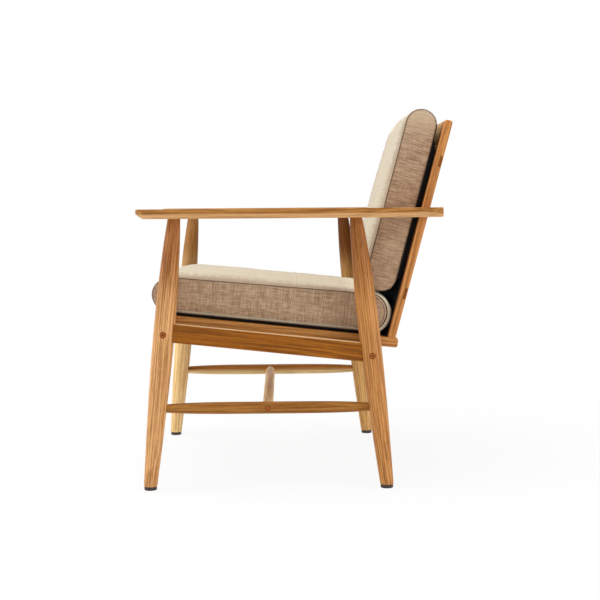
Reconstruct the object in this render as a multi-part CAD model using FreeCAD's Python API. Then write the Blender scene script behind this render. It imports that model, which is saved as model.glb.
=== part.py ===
import FreeCAD, Part
import math
import os

from FreeCAD import Placement, Rotation, Vector

# Oak lounge armchair with paddle arms and two loose cushions
# Millimetres, +Z up, front towards -Y, the sitter's left towards +X
# The origin is on the floor under the middle of the overall box

# Overall driving dimensions
arm_height = 586.0
arm_front_y = -330.0
leg_splay_deg = 3.034
front_foot_y = -309.0
front_top_y = -253.5
rear_foot_y = 188.5
rear_top_y = 126.5
seat_tilt_deg = 6.2
back_tilt_deg = 14.9
seat_frame_height = 361.0
seat_frame_width = 525.4
back_foot_y = 193.7
back_above_arm = 183.5

# Fits
wood_gap = 0.2
soft_gap = 0.4
leg_rail_gap = 1.0
overrun = 60.0

# How straight an edge runs to count as lying along an axis, and rounds of fitting a place on a leg
along_share = 0.9999
fit_rounds = 8

# Arms
arm_thickness = 20.0
arm_over_stile = 5.2
arm_past_stile = 28.2
arm_front_width = 70.0
arm_belly_width = 74.0
arm_rear_width = 56.0
arm_end_bow = 5.0
arm_bevel_height = 10.0
arm_bevel_depth = 14.0
arm_corner_extra = 8.0
arm_rear_corner = 10.0
arm_edge_round = 1.6
arm_belly_share = 0.42
arm_end_middle_share = 0.52

# Legs, turned thickest a little below the middle
leg_foot_diameter = 27.6
leg_belly_diameter = 44.4
leg_top_diameter = 24.8
leg_belly_share = 0.5
leg_lower_shares = (0.25, 0.62)
leg_upper_shares = (0.76, 0.83)
leg_tenon_diameter = 16.0
leg_tenon_length = 14.0

# Foot glides with a nail
glide_height = 8.0
glide_diameter = 26.4
glide_edge = 1.2
glide_nail_diameter = 4.0
glide_nail_length = 16.0

# Side aprons, between the legs
apron_height = 38.8
apron_thickness = 22.0
apron_front_z = 330.0
apron_edge_round = 1.5
apron_tenon_height = 26.0
apron_tenon_thickness = 9.0
apron_tenon_depth = 13.0

# Cross rails under the seat frame
rail_height = 34.0
rail_thickness = 24.0
rail_edge_round = 1.5

# Bolts through the legs into the cross rails, under wooden plugs
bolt_diameter = 8.0
bolt_head_diameter = 12.6
bolt_head_height = 6.0
bolt_length = 62.0
plug_diameter = 14.0
plug_length = 7.0
plug_proud = 0.5
nut_diameter = 12.0
nut_length = 18.0
nut_inset = 9.0

# Turned stretchers
stretcher_z = 170.0
stretcher_diameter = 25.4
stretcher_end_diameter = 14.6
stretcher_swell_shares = ((0.10, 0.62), (0.25, 0.93))
stretcher_tenon_diameter = 11.0
stretcher_tenon_depth = 15.0
cross_diameter = 22.6
cross_end_diameter = 14.4
cross_swell_shares = ((0.03, 0.70), (0.08, 0.94), (0.25, 0.99))
cross_tenon_diameter = 11.6

# Seat frame
seat_rail_thickness = 20.4
seat_rail_width = 40.0
seat_rail_front_reach = 36.0
seat_rail_rear_lip = 6.0
seat_rail_end_round = 5.0
seat_rail_edge_round = 1.5
seat_cross_depth = 46.0
seat_cross_tenon_length = 18.0
seat_cross_tenon_thickness = 9.0
seat_cross_tenon_margin = 6.0
seat_slat_count = 6
seat_slat_width = 38.0
seat_slat_thickness = 12.0
seat_slat_tongue = 14.0
seat_slat_edge_round = 2.0

# Back frame
stile_thickness = 16.6
stile_width = 40.0
stile_top_round = 5.0
stile_edge_round = 1.5
stile_tenon_thickness = 8.0
stile_tenon_width = 26.0
crest_height = 52.0
crest_top_round = 5.0
crest_tenon_length = 16.0
crest_tenon_height = 30.0
crest_tenon_thickness = 8.0
back_rail_height = 36.0
back_rail_thickness = 8.2
back_rail_tenon_height = 24.6
back_rail_tenon_thickness = 5.2
lower_back_rail_up = 98.5
upper_back_rail_drop = 87.7
back_slat_count = 5
back_slat_width = 44.0
back_slat_tongue = 10.0
back_slat_foot_reach = 7.0
back_slat_edge_round = 1.5

# Screws
frame_screw_diameter = 5.0
frame_screw_length = 42.0
frame_screw_head = 10.0
frame_screw_inset = 30.0
frame_screw_sink = 0.8
arm_screw_diameter = 5.0
arm_screw_length = 62.0
arm_screw_head = 10.0
slat_screw_diameter = 3.4
slat_screw_length = 13.0
slat_screw_head = 6.6
screw_head_share = 0.30
screw_tip_share = 0.18

# Seat cushion
seat_cushion_side = 78.8
seat_cushion_underside = 6.2
seat_cushion_puff = 5.0
seat_cushion_crown = 12.0
seat_cushion_nose = 16.0

# Back cushion
back_cushion_side = 65.0
back_cushion_underside = 12.0
back_cushion_puff = 5.0
back_cushion_crown = 8.0
back_cushion_length = 392.0

# Both cushions
cushion_side_margin = 12.7
panel_bulge = 5.6
panel_inset = 20.0
panel_bulge_shares = (0.62, 1.0)
panel_inset_shares = (0.36, 1.0)
cover_thickness = 1.8
base_cloth_thickness = 1.4
flat_crown = 0.4
roll_share = 0.965
crown_steps = 4

# Values worked out from the sizes above
arm_underside = arm_height - arm_thickness
seat_tilt = math.radians(seat_tilt_deg)
back_tilt = math.radians(back_tilt_deg)
lean = back_tilt - seat_tilt
half_frame = seat_frame_width / 2
cushion_width = seat_frame_width - 2 * cushion_side_margin
arm_inner_x = half_frame - arm_over_stile
front_line = (front_foot_y, front_top_y)
rear_line = (rear_foot_y, rear_top_y)
X_AXIS = Vector(1, 0, 0)
Y_AXIS = Vector(0, 1, 0)
Z_AXIS = Vector(0, 0, 1)


def axis_x(height):
    """X of a left leg's axis at a height above the floor, the leg's belly beside the seat rail."""
    beside_rail = half_frame + leg_belly_diameter / 2 + leg_rail_gap
    return beside_rail + math.tan(math.radians(leg_splay_deg)) * (seat_frame_height - height)


def axis_y(foot_y, top_y, height):
    """Y of a leg's axis at a height above the floor."""
    return foot_y + (top_y - foot_y) * height / arm_underside


def seat_plane_z(y):
    """Height of the seat frame's top plane at a depth y."""
    return seat_frame_height - math.tan(seat_tilt) * (y - front_top_y)


def turn(a, b):
    """Rotation that takes the Z axis to the direction from a to b."""
    return Rotation(Z_AXIS, b - a)


def local_box(x0, x1, y0, y1, z0, z1):
    """A box between two corners."""
    return Part.makeBox(x1 - x0, y1 - y0, z1 - z0, Vector(x0, y0, z0))


def placed(shape, place):
    """A copy of a shape put at a placement."""
    result = shape.copy()
    result.Placement = place.multiply(result.Placement)
    return result


def mirrored(shape):
    """The same piece on the other side of the chair."""
    return shape.mirror(Vector(0, 0, 0), X_AXIS)


def one_solid(shape):
    """The largest solid of a result."""
    return max(shape.Solids, key=lambda item: item.Volume)


def rounded(shape, radius, keep):
    """Round the edges that a test picks out."""
    return shape.makeFillet(radius, [edge for edge in shape.Edges if keep(edge)])


def along(edge, axis):
    """Whether a straight edge runs along an axis."""
    if not isinstance(edge.Curve, Part.Line):
        return False
    return abs(edge.tangentAt(edge.FirstParameter).dot(axis)) > along_share


def seat_place():
    """Local frame of the seat: y rearwards down the slope, z square to it."""
    return Placement(Vector(0, back_foot_y, seat_plane_z(back_foot_y)), Rotation(X_AXIS, -seat_tilt_deg))


def back_place():
    """Local frame of the back: z up along the stiles, y rearwards through them."""
    return Placement(Vector(0, back_foot_y, seat_plane_z(back_foot_y)), Rotation(X_AXIS, -back_tilt_deg))


def seat_y(y):
    """Local seat coordinate of the point of the top plane at a depth y."""
    return (y - back_foot_y) / math.cos(seat_tilt)


def back_up(height):
    """Distance up the stiles' front plane of a height above the floor."""
    return (height - seat_plane_z(back_foot_y)) / math.cos(back_tilt)


back_length = back_up(arm_height + back_above_arm)
upper_back_rail_up = back_length - upper_back_rail_drop


# Turned pieces

def turned(points):
    """Revolve a smooth profile of (radius, z) points about the Z axis."""
    profile = [Vector(radius, 0, z) for radius, z in points]
    curve = Part.BSplineCurve()
    curve.interpolate(profile)
    low = Vector(0, 0, profile[0].z)
    high = Vector(0, 0, profile[-1].z)
    edges = [
        Part.makeLine(low, profile[0]),
        curve.toShape(),
        Part.makeLine(profile[-1], high),
        Part.makeLine(high, low),
    ]
    return Part.Face(Part.Wire(edges)).revolve(Vector(0, 0, 0), Z_AXIS, 360)


def leg_axis(foot_y, top_y):
    """Foot and top points of a left leg's axis."""
    return Vector(axis_x(0), foot_y, 0), Vector(axis_x(arm_underside), top_y, arm_underside)


def leg_blank(foot_y, top_y, extra):
    """The turned leg, longer than needed, made thicker all round by extra."""
    foot, top = leg_axis(foot_y, top_y)
    length = (top - foot).Length
    foot_r = leg_foot_diameter / 2 + extra
    belly_r = leg_belly_diameter / 2 + extra
    top_r = leg_top_diameter / 2 + extra
    lower_z, lower_r = leg_lower_shares
    upper_z, upper_r = leg_upper_shares
    points = [
        (foot_r, 0),
        (foot_r + (belly_r - foot_r) * lower_r, length * lower_z),
        (belly_r, length * leg_belly_share),
        (top_r + (belly_r - top_r) * upper_r, length * upper_z),
        (top_r, length),
    ]
    body = turned(points)
    collar = Part.makeCylinder(top_r, leg_top_diameter, Vector(0, 0, length))
    heel = Part.makeCylinder(foot_r, leg_foot_diameter, Vector(0, 0, -leg_foot_diameter))
    return placed(body.fuse([collar, heel]), Placement(foot, turn(foot, top)))


def leg_tenon(foot_y, top_y, extra):
    """The round tenon on a leg's top, inside the arm."""
    foot, top = leg_axis(foot_y, top_y)
    length = (top - foot).Length
    root = leg_top_diameter / 2
    tall = root + leg_tenon_length + extra
    tenon = Part.makeCylinder(leg_tenon_diameter / 2 + extra, tall, Vector(0, 0, length - root))
    return placed(tenon, Placement(foot, turn(foot, top)))


def level_slab(z0, z1):
    """A block that covers both legs of a side between two heights."""
    return local_box(0, seat_frame_width, arm_front_y, -arm_front_y, z0, z1)


def rail_centre(foot_y, top_y):
    """Centre of a cross rail's section, under the seat frame and on the legs' axes."""
    drop = seat_rail_thickness + rail_height / 2
    y = top_y
    for _ in range(fit_rounds):
        z = seat_plane_z(y) - drop / math.cos(seat_tilt)
        y = axis_y(foot_y, top_y, z)
    return Vector(0, y, z)


def peg_point(foot_y, top_y):
    """Point of a left leg's axis where the bolt crosses it."""
    centre = rail_centre(foot_y, top_y)
    return Vector(axis_x(centre.z), centre.y, centre.z)


def apron_place():
    """Local frame of the left apron: y along it from front leg to rear leg."""
    front_y = axis_y(front_foot_y, front_top_y, apron_front_z)
    run = rear_top_y - front_top_y
    rear_z = apron_front_z - run * math.tan(seat_tilt)
    for _ in range(fit_rounds):
        rear_y = axis_y(rear_foot_y, rear_top_y, rear_z)
        rear_z = apron_front_z - (rear_y - front_y) * math.tan(seat_tilt)
    front = Vector(axis_x(apron_front_z), front_y, apron_front_z)
    rear = Vector(axis_x(rear_z), rear_y, rear_z)
    forward = rear - front
    side = forward.cross(Z_AXIS).normalize()
    rotation = Rotation(side, forward, side.cross(forward), "YXZ")
    return Placement(front, rotation), forward.Length


def apron_tenon(extra, far_end):
    """Tenon of the left apron in a leg."""
    place, length = apron_place()
    half_h = apron_tenon_height / 2 + extra
    half_t = apron_tenon_thickness / 2 + extra
    depth = leg_belly_diameter / 2 - apron_tenon_depth - extra
    if far_end:
        box = local_box(-half_t, half_t, length - leg_belly_diameter, length - depth, -half_h, half_h)
    else:
        box = local_box(-half_t, half_t, depth, leg_belly_diameter, -half_h, half_h)
    return placed(box, place)


def bolt_bore(foot_y, top_y, extra):
    """Bolt hole, head pocket and plug hole in a left leg and its cross rail."""
    point = peg_point(foot_y, top_y)
    face = leg_face_x(foot_y, top_y)
    head_x = face - plug_length
    shank = Part.makeCylinder(
        bolt_diameter / 2 + extra, bolt_length + extra, Vector(head_x, point.y, point.z), -X_AXIS)
    pocket = Part.makeCylinder(
        bolt_head_diameter / 2 + extra, bolt_head_height + extra, Vector(head_x, point.y, point.z), -X_AXIS)
    mouth = Part.makeCylinder(
        plug_diameter / 2 + extra, overrun, Vector(head_x - extra, point.y, point.z), X_AXIS)
    return shank.fuse([pocket, mouth])


def leg_face_x(foot_y, top_y):
    """X of a left leg's outer face where the plug sits."""
    return peg_point(foot_y, top_y).x + leg_belly_diameter / 2


def stretcher_points():
    """Axis points of the left stretcher at the two legs."""
    x = axis_x(stretcher_z)
    front = Vector(x, axis_y(front_foot_y, front_top_y, stretcher_z), stretcher_z)
    rear = Vector(x, axis_y(rear_foot_y, rear_top_y, stretcher_z), stretcher_z)
    return front, rear


def stretcher_tenons(extra):
    """Round tenons at both ends of the left stretcher."""
    front, rear = stretcher_points()
    radius = stretcher_tenon_diameter / 2 + extra
    start = leg_belly_diameter / 2 - stretcher_tenon_depth - extra
    length = (rear - front).Length - 2 * start
    return Part.makeCylinder(radius, length, front + Y_AXIS * start, Y_AXIS)


def make_leg(foot_y, top_y, is_rear):
    """One left leg with its tenon, mortises and bores."""
    leg = leg_blank(foot_y, top_y, 0)
    leg = one_solid(leg.cut(level_slab(arm_underside + arm_bevel_height, arm_height + overrun)))
    leg = one_solid(leg.cut(arm_board()))
    leg = one_solid(leg.cut(level_slab(-overrun, glide_height)))
    leg = leg.fuse(leg_tenon(foot_y, top_y, 0))
    nail = Part.makeCylinder(
        glide_nail_diameter / 2 + wood_gap, glide_nail_length + wood_gap, foot_point(foot_y, top_y))
    cuts = (
        apron_tenon(wood_gap, is_rear),
        bolt_bore(foot_y, top_y, wood_gap),
        stretcher_tenons(wood_gap),
        nail,
    )
    for cut in cuts:
        leg = leg.cut(cut)
    return one_solid(leg)


def foot_point(foot_y, top_y):
    """Centre of a left leg's foot face."""
    return Vector(axis_x(glide_height), axis_y(foot_y, top_y, glide_height), glide_height)


def make_glide(foot_y, top_y):
    """A level glide with a rounded lower edge and a nail up into the leg."""
    centre = foot_point(foot_y, top_y)
    radius = glide_diameter / 2
    disc = Part.makeCylinder(radius, glide_height, centre - Z_AXIS * glide_height)
    disc = rounded(disc, glide_edge, lambda edge: edge.BoundBox.ZMax < glide_height / 2)
    nail = Part.makeCylinder(glide_nail_diameter / 2, glide_nail_length, centre)
    return one_solid(disc.fuse(nail))


# Arms

def stile_block(extra):
    """The left stile's section along its whole length, grown by extra."""
    box = local_box(
        half_frame - stile_width - extra, half_frame + extra,
        -extra, stile_thickness + extra, -overrun, back_length + overrun)
    return placed(box, back_place())


def arm_rear_y():
    """Rear end of the arms, behind the stiles."""
    up = back_up(arm_height - arm_thickness / 2)
    return back_place().multVec(Vector(0, stile_thickness, up)).y + arm_past_stile


def arm_outer_edge():
    """Outer edge of the left arm seen from above."""
    front = Vector(arm_inner_x + arm_front_width, arm_front_y + arm_end_bow, 0)
    rear = Vector(arm_inner_x + arm_rear_width, arm_rear_y() - arm_end_bow, 0)
    belly_y = arm_front_y + (arm_rear_y() - arm_front_y) * arm_belly_share
    belly = Vector(arm_inner_x + arm_belly_width, belly_y, 0)
    return Part.Arc(front, belly, rear).toShape()


def arm_blank():
    """The left arm bevelled below all round, its sides run on past its rear end."""
    outer = arm_outer_edge()
    front = outer.Vertexes[0].Point
    rear = outer.Vertexes[-1].Point
    nose = Vector(arm_inner_x + arm_front_width * arm_end_middle_share, arm_front_y, 0)
    inner_front = Vector(arm_inner_x, front.y, 0)
    outer_end = rear + outer.tangentAt(outer.LastParameter) * overrun
    inner_end = Vector(arm_inner_x, rear.y + overrun, 0)
    sides = Part.makePolygon([rear, outer_end, inner_end, inner_front]).Edges
    plan = Part.Face(Part.Wire([Part.Arc(inner_front, nose, front).toShape(), outer] + sides))
    board = plan.extrude(Z_AXIS * arm_thickness)
    corner = arm_bevel_depth + arm_corner_extra
    board = rounded(board, corner, lambda edge: along(edge, Z_AXIS) and edge.BoundBox.YMax < 0)
    under = [edge for edge in board.Edges if edge.BoundBox.ZMax < arm_edge_round / 2]
    return board.makeChamfer(arm_bevel_height, arm_bevel_depth, under)


def arm_end_limit():
    """All that the bowed rear end of the arm leaves, with that end's rounded corners."""
    outer = arm_outer_edge()
    rear = outer.Vertexes[-1].Point
    tail = Vector(arm_inner_x + arm_rear_width * arm_end_middle_share, arm_rear_y(), 0)
    inner_rear = Vector(arm_inner_x, rear.y, 0)
    ahead = outer.tangentAt(outer.LastParameter) * (arm_front_y - rear.y - overrun)
    sides = Part.makePolygon([inner_rear, inner_rear - Y_AXIS * ahead.Length, rear + ahead, rear]).Edges
    plan = Part.Face(Part.Wire([Part.Arc(rear, tail, inner_rear).toShape()] + sides))
    block = plan.extrude(Z_AXIS * arm_thickness)
    return rounded(block, arm_rear_corner, lambda edge: along(edge, Z_AXIS) and edge.BoundBox.YMin > 0)


def arm_screw_place():
    """Head and direction of the screw from the left stile into the arm."""
    up = back_up(arm_height - arm_thickness / 2)
    mid = back_place().multVec(Vector(0, stile_thickness / 2, up))
    return Vector(half_frame - stile_width, mid.y, mid.z)


def arm_board():
    """The left arm's board, bevelled below along its front and sides, with a plain rear end."""
    arm = one_solid(arm_blank().common(arm_end_limit()))
    arm = rounded(arm, arm_edge_round, lambda edge: edge.BoundBox.ZMin > arm_thickness - arm_edge_round / 2)
    arm.translate(Z_AXIS * arm_underside)
    return arm


def make_arm():
    """The left arm: its board with the legs' mortises and a housing for the stile."""
    arm = arm_board()
    cuts = (
        leg_tenon(*front_line, wood_gap),
        leg_tenon(*rear_line, wood_gap),
        stile_block(wood_gap),
        arm_screw(wood_gap),
    )
    for cut in cuts:
        arm = arm.cut(cut)
    return one_solid(arm)


# Screws, with the head's top at the origin and the tip down the Z axis

def screw_solid(length, diameter, head, extra):
    """A countersunk wood screw, grown by extra for its hole."""
    shank_r = diameter / 2 + extra
    head_r = head / 2 + extra
    head_h = head * screw_head_share
    tip = length * screw_tip_share
    points = [
        Vector(0, 0, 0),
        Vector(head_r, 0, 0),
        Vector(shank_r, 0, -head_h),
        Vector(shank_r, 0, tip - length),
        Vector(0, 0, -length - extra),
        Vector(0, 0, 0),
    ]
    return Part.Face(Part.makePolygon(points)).revolve(Vector(0, 0, 0), Z_AXIS, 360)


def arm_screw(extra):
    """The screw from inside the left stile into the arm."""
    screw = screw_solid(arm_screw_length, arm_screw_diameter, arm_screw_head, extra)
    return placed(screw, Placement(arm_screw_place(), turn(X_AXIS, Vector(0, 0, 0))))


# Base frame

def make_apron():
    """The left apron, scribed to the round legs, with a tenon at each end."""
    place, length = apron_place()
    half_t = apron_thickness / 2
    half_h = apron_height / 2
    board = local_box(-half_t, half_t, 0, length, -half_h, half_h)
    board = rounded(board, apron_edge_round, lambda edge: along(edge, Y_AXIS))
    board = placed(board, place)
    board = board.cut([
        leg_blank(*front_line, wood_gap),
        leg_blank(*rear_line, wood_gap),
    ])
    board = one_solid(board)
    return one_solid(board.fuse([apron_tenon(0, False), apron_tenon(0, True)]))


def make_cross_rail(foot_y, top_y):
    """A rail from leg to leg whose top lies along the seat frame's underside."""
    centre = rail_centre(foot_y, top_y)
    half_t = rail_thickness / 2
    half_h = rail_height / 2
    reach = peg_point(foot_y, top_y).x
    board = local_box(-reach, reach, -half_t, half_t, -half_h, half_h)
    board = rounded(board, rail_edge_round, lambda edge: along(edge, X_AXIS))
    board = placed(board, Placement(centre, Rotation(X_AXIS, -seat_tilt_deg)))
    blank = leg_blank(foot_y, top_y, wood_gap)
    bore = bolt_bore(foot_y, top_y, wood_gap)
    nut = nut_bore(foot_y, top_y)
    cuts = [blank, mirrored(blank), bore, mirrored(bore), nut, mirrored(nut)]
    for cut in cuts + frame_screws(wood_gap):
        board = board.cut(cut)
    return one_solid(board)


def nut_point(foot_y, top_y):
    """Centre of the barrel nut in the left end of a cross rail."""
    point = peg_point(foot_y, top_y)
    x = leg_face_x(foot_y, top_y) - plug_length - bolt_length + nut_inset
    return Vector(x, point.y, point.z)


def make_nut(foot_y, top_y):
    """The barrel nut that a bolt pulls on."""
    start = nut_point(foot_y, top_y) - Z_AXIS * (nut_length / 2)
    nut = Part.makeCylinder(nut_diameter / 2, nut_length, start)
    return one_solid(nut.cut(bolt_bore(foot_y, top_y, wood_gap)))


def nut_bore(foot_y, top_y):
    """The hole for a barrel nut, open at the cross rail's underside."""
    top = nut_point(foot_y, top_y) + Z_AXIS * (nut_length / 2 + wood_gap)
    return Part.makeCylinder(nut_diameter / 2 + wood_gap, nut_length + overrun, top, -Z_AXIS)


def make_bolt(foot_y, top_y):
    """A hex socket bolt from under the plug into its nut."""
    point = peg_point(foot_y, top_y)
    head_x = leg_face_x(foot_y, top_y) - plug_length
    start = Vector(head_x, point.y, point.z)
    head = Part.makeCylinder(bolt_head_diameter / 2, bolt_head_height, start, -X_AXIS)
    shank = Part.makeCylinder(bolt_diameter / 2, bolt_length, start, -X_AXIS)
    return one_solid(head.fuse(shank))


def make_plug(foot_y, top_y):
    """The wooden plug over a bolt, a little proud of the leg."""
    point = peg_point(foot_y, top_y)
    face = leg_face_x(foot_y, top_y)
    start = Vector(face - plug_length, point.y, point.z)
    return Part.makeCylinder(plug_diameter / 2, plug_length + plug_proud, start, X_AXIS)


def swelled_rod(start_z, end_z, end_d, middle_d, swell_shares):
    """A turned rod along Z, thin at its ends and full in the middle."""
    length = end_z - start_z
    grow = (middle_d - end_d) / 2
    rising = [(end_d / 2, start_z)]
    for length_share, swell_share in swell_shares:
        rising.append((end_d / 2 + grow * swell_share, start_z + length * length_share))
    falling = [(radius, start_z + end_z - z) for radius, z in reversed(rising)]
    return turned(rising + [(middle_d / 2, start_z + length / 2)] + falling)


def cross_point():
    """Where the cross stretcher meets the left stretcher."""
    front, rear = stretcher_points()
    return (front + rear) / 2


def cross_tenon(extra):
    """Through tenons of the cross stretcher, flush with the side stretchers."""
    point = cross_point()
    reach = point.x + stretcher_diameter / 2
    radius = cross_tenon_diameter / 2 + extra
    start = Vector(-reach - extra, point.y, point.z)
    return Part.makeCylinder(radius, 2 * (reach + extra), start, X_AXIS)


def make_side_stretcher():
    """The left stretcher, scribed to both legs."""
    front, rear = stretcher_points()
    length = (rear - front).Length
    rod = swelled_rod(0, length, stretcher_end_diameter, stretcher_diameter, stretcher_swell_shares)
    rod = placed(rod, Placement(front, turn(front, rear)))
    blanks = [
        leg_blank(*front_line, wood_gap),
        leg_blank(*rear_line, wood_gap),
    ]
    rod = one_solid(rod.cut(blanks))
    rod = rod.fuse(stretcher_tenons(0))
    return one_solid(rod.cut(cross_tenon(wood_gap)))


def make_cross_stretcher():
    """The stretcher from side to side, with a tenon through each side stretcher."""
    point = cross_point()
    rod = swelled_rod(-point.x, point.x, cross_end_diameter, cross_diameter, cross_swell_shares)
    rod = placed(rod, Placement(Vector(0, point.y, point.z), turn(Vector(0, 0, 0), X_AXIS)))
    radius = stretcher_diameter / 2 + wood_gap
    front, rear = stretcher_points()
    length = (rear - front).Length
    side = Part.makeCylinder(radius, length, front, Y_AXIS)
    cap = local_box(point.x, point.x + overrun, front.y, rear.y, 0, stretcher_z + overrun)
    rod = one_solid(rod.cut([side, mirrored(side), cap, mirrored(cap)]))
    return one_solid(rod.fuse(cross_tenon(0)))


# Seat frame, built in the seat's local frame

def seat_front():
    """Local y of the seat rails' front ends."""
    return seat_y(front_top_y) - seat_rail_front_reach


def seat_rear():
    """Local y of the seat rails' rear ends."""
    return stile_thickness / math.cos(lean) + seat_rail_rear_lip


def stile_tenon_box(extra):
    """The left stile's tenon, in the back's local frame."""
    mid_x = half_frame - stile_width / 2
    mid_y = stile_thickness / 2
    half_t = stile_tenon_thickness / 2 + extra
    half_w = stile_tenon_width / 2 + extra
    return local_box(
        mid_x - half_w, mid_x + half_w, mid_y - half_t, mid_y + half_t, -overrun, stile_thickness)


def seat_cross_span(is_rear):
    """Local y range of a cross member of the seat frame."""
    if is_rear:
        high = -seat_rail_rear_lip
        return high - seat_cross_depth, high
    low = seat_front()
    return low, low + seat_cross_depth


def seat_cross_tenon(is_rear, extra):
    """Tenons at both ends of a cross member, as one bar."""
    low, high = seat_cross_span(is_rear)
    low += seat_cross_tenon_margin - extra
    high -= seat_cross_tenon_margin - extra
    reach = half_frame - seat_rail_width + seat_cross_tenon_length + extra
    mid = -seat_rail_thickness / 2
    half = seat_cross_tenon_thickness / 2 + extra
    return local_box(-reach, reach, low, high, mid - half, mid + half)


def slat_starts():
    """Local y of each seat slat's front edge."""
    low = seat_cross_span(False)[1]
    high = seat_cross_span(True)[0]
    gap = (high - low - seat_slat_count * seat_slat_width) / (seat_slat_count + 1)
    return [low + gap + index * (gap + seat_slat_width) for index in range(seat_slat_count)]


def slat_bar(start, reach, extra):
    """A seat slat with rounded long edges, level with the rails' tops."""
    box = local_box(
        -reach - extra, reach + extra, start - extra, start + seat_slat_width + extra,
        -seat_slat_thickness - extra, extra)
    if extra > 0:
        return box
    return rounded(box, seat_slat_edge_round, lambda edge: along(edge, X_AXIS))


def make_seat_rail():
    """The left side rail of the seat frame."""
    low = seat_front()
    high = seat_rear()
    rail = local_box(half_frame - seat_rail_width, half_frame, low, high, -seat_rail_thickness, 0)
    rail = rounded(rail, seat_rail_end_round, lambda edge: along(edge, X_AXIS))
    rail = rounded(rail, seat_rail_edge_round, lambda edge: along(edge, Y_AXIS))
    cuts = [seat_cross_tenon(False, wood_gap), seat_cross_tenon(True, wood_gap)]
    reach = half_frame - seat_rail_width + seat_slat_tongue
    cuts += [slat_bar(start, reach, wood_gap) for start in slat_starts()]
    rail = placed(rail.cut(cuts), seat_place())
    world = [placed(stile_tenon_box(wood_gap), back_place())] + frame_screws(wood_gap)
    return one_solid(rail.cut(world))


def make_seat_cross(is_rear):
    """A cross member of the seat frame between the side rails."""
    low, high = seat_cross_span(is_rear)
    reach = half_frame - seat_rail_width - wood_gap
    board = local_box(-reach, reach, low, high, -seat_rail_thickness, 0)
    board = rounded(board, seat_rail_edge_round, lambda edge: along(edge, X_AXIS))
    board = placed(board.fuse(seat_cross_tenon(is_rear, 0)), seat_place())
    return one_solid(board.cut(frame_screws(wood_gap)))


def make_seat_slat(start):
    """One slat across the seat."""
    reach = half_frame - seat_rail_width + seat_slat_tongue
    return placed(slat_bar(start, reach, 0), seat_place())


def frame_screw_points():
    """Tops of the screws that hold the left seat rail to the cross rails."""
    x = half_frame - frame_screw_inset
    points = []
    for line in (front_line, rear_line):
        local = seat_place().inverse().multVec(rail_centre(*line))
        points.append(seat_place().multVec(Vector(x, local.y, -frame_screw_sink)))
    return points


def frame_screws(extra):
    """Screws down through both seat rails into the cross rails."""
    screw = screw_solid(frame_screw_length, frame_screw_diameter, frame_screw_head, extra)
    if extra > 0:
        mouth = Part.makeCylinder(frame_screw_head / 2 + extra, frame_screw_head)
        screw = screw.fuse(mouth)
    left = [placed(screw, Placement(point, Rotation(X_AXIS, -seat_tilt_deg)))
            for point in frame_screw_points()]
    return left + [mirrored(item) for item in left]


# Back frame, built in the back's local frame

def back_rail_tenon(up, extra):
    """Through tenons of a back rail, as one bar between the stiles' outer faces."""
    rear = stile_thickness - (back_rail_thickness - back_rail_tenon_thickness) / 2
    half = back_rail_tenon_height / 2 + extra
    reach = half_frame + extra
    return local_box(
        -reach, reach, rear - back_rail_tenon_thickness - extra, rear + extra, up - half, up + half)


def crest_tenon(extra):
    """Blind tenons of the crest rail, as one bar."""
    reach = half_frame - stile_width + crest_tenon_length + extra
    mid = stile_thickness / 2
    half_t = crest_tenon_thickness / 2 + extra
    top = back_length - (crest_height - crest_tenon_height) / 2 + extra
    return local_box(-reach, reach, mid - half_t, mid + half_t, top - crest_tenon_height - 2 * extra, top)


def make_stile():
    """The left stile: a tilted post that stands on the seat rail."""
    low_x = half_frame - stile_width
    post = local_box(low_x, half_frame, 0, stile_thickness, -stile_thickness, back_length)
    post = rounded(
        post, stile_top_round,
        lambda edge: along(edge, X_AXIS) and edge.BoundBox.ZMin > back_length / 2)
    post = rounded(post, stile_edge_round, lambda edge: along(edge, Z_AXIS))
    post = placed(post, back_place())
    below = placed(
        local_box(-overrun, seat_frame_width, -overrun, overrun, -overrun, wood_gap), seat_place())
    post = one_solid(post.cut(below))
    under = placed(
        local_box(-overrun, seat_frame_width, -overrun, overrun, -overrun, -seat_rail_thickness),
        seat_place())
    tenon = placed(stile_tenon_box(0), back_place()).cut(under)
    post = post.fuse(tenon)
    cuts = (
        placed(back_rail_tenon(lower_back_rail_up, wood_gap), back_place()),
        placed(back_rail_tenon(upper_back_rail_up, wood_gap), back_place()),
        placed(crest_tenon(wood_gap), back_place()),
        arm_screw(wood_gap),
    )
    for cut in cuts:
        post = post.cut(cut)
    return one_solid(post)


def back_slat_thickness():
    """Depth of a back slat, from the stiles' front plane to the back rails."""
    return stile_thickness - back_rail_thickness - wood_gap


def back_slat_centres():
    """X of each back slat's centre line."""
    inner = half_frame - stile_width
    gap = (2 * inner - back_slat_count * back_slat_width) / (back_slat_count + 1)
    first = -inner + gap + back_slat_width / 2
    return [first + index * (gap + back_slat_width) for index in range(back_slat_count)]


def back_slat_bar(centre, extra):
    """A back slat, from below the lower rail up into the crest rail."""
    low = lower_back_rail_up - back_rail_height / 2 - back_slat_foot_reach
    high = back_length - crest_height + back_slat_tongue
    half = back_slat_width / 2 + extra
    box = local_box(
        centre - half, centre + half, -extra, back_slat_thickness() + extra, low, high + extra)
    if extra > 0:
        return box
    return rounded(box, back_slat_edge_round, lambda edge: along(edge, Z_AXIS))


def slat_screws(extra):
    """Screws through the back rails into each back slat, in the back's local frame."""
    screw = screw_solid(slat_screw_length, slat_screw_diameter, slat_screw_head, extra)
    turned_screw = placed(screw, Placement(Vector(0, 0, 0), Rotation(X_AXIS, -90)))
    result = []
    for up in (lower_back_rail_up, upper_back_rail_up):
        for centre in back_slat_centres():
            item = turned_screw.copy()
            item.translate(Vector(centre, stile_thickness, up))
            result.append(item)
    return result


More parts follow.
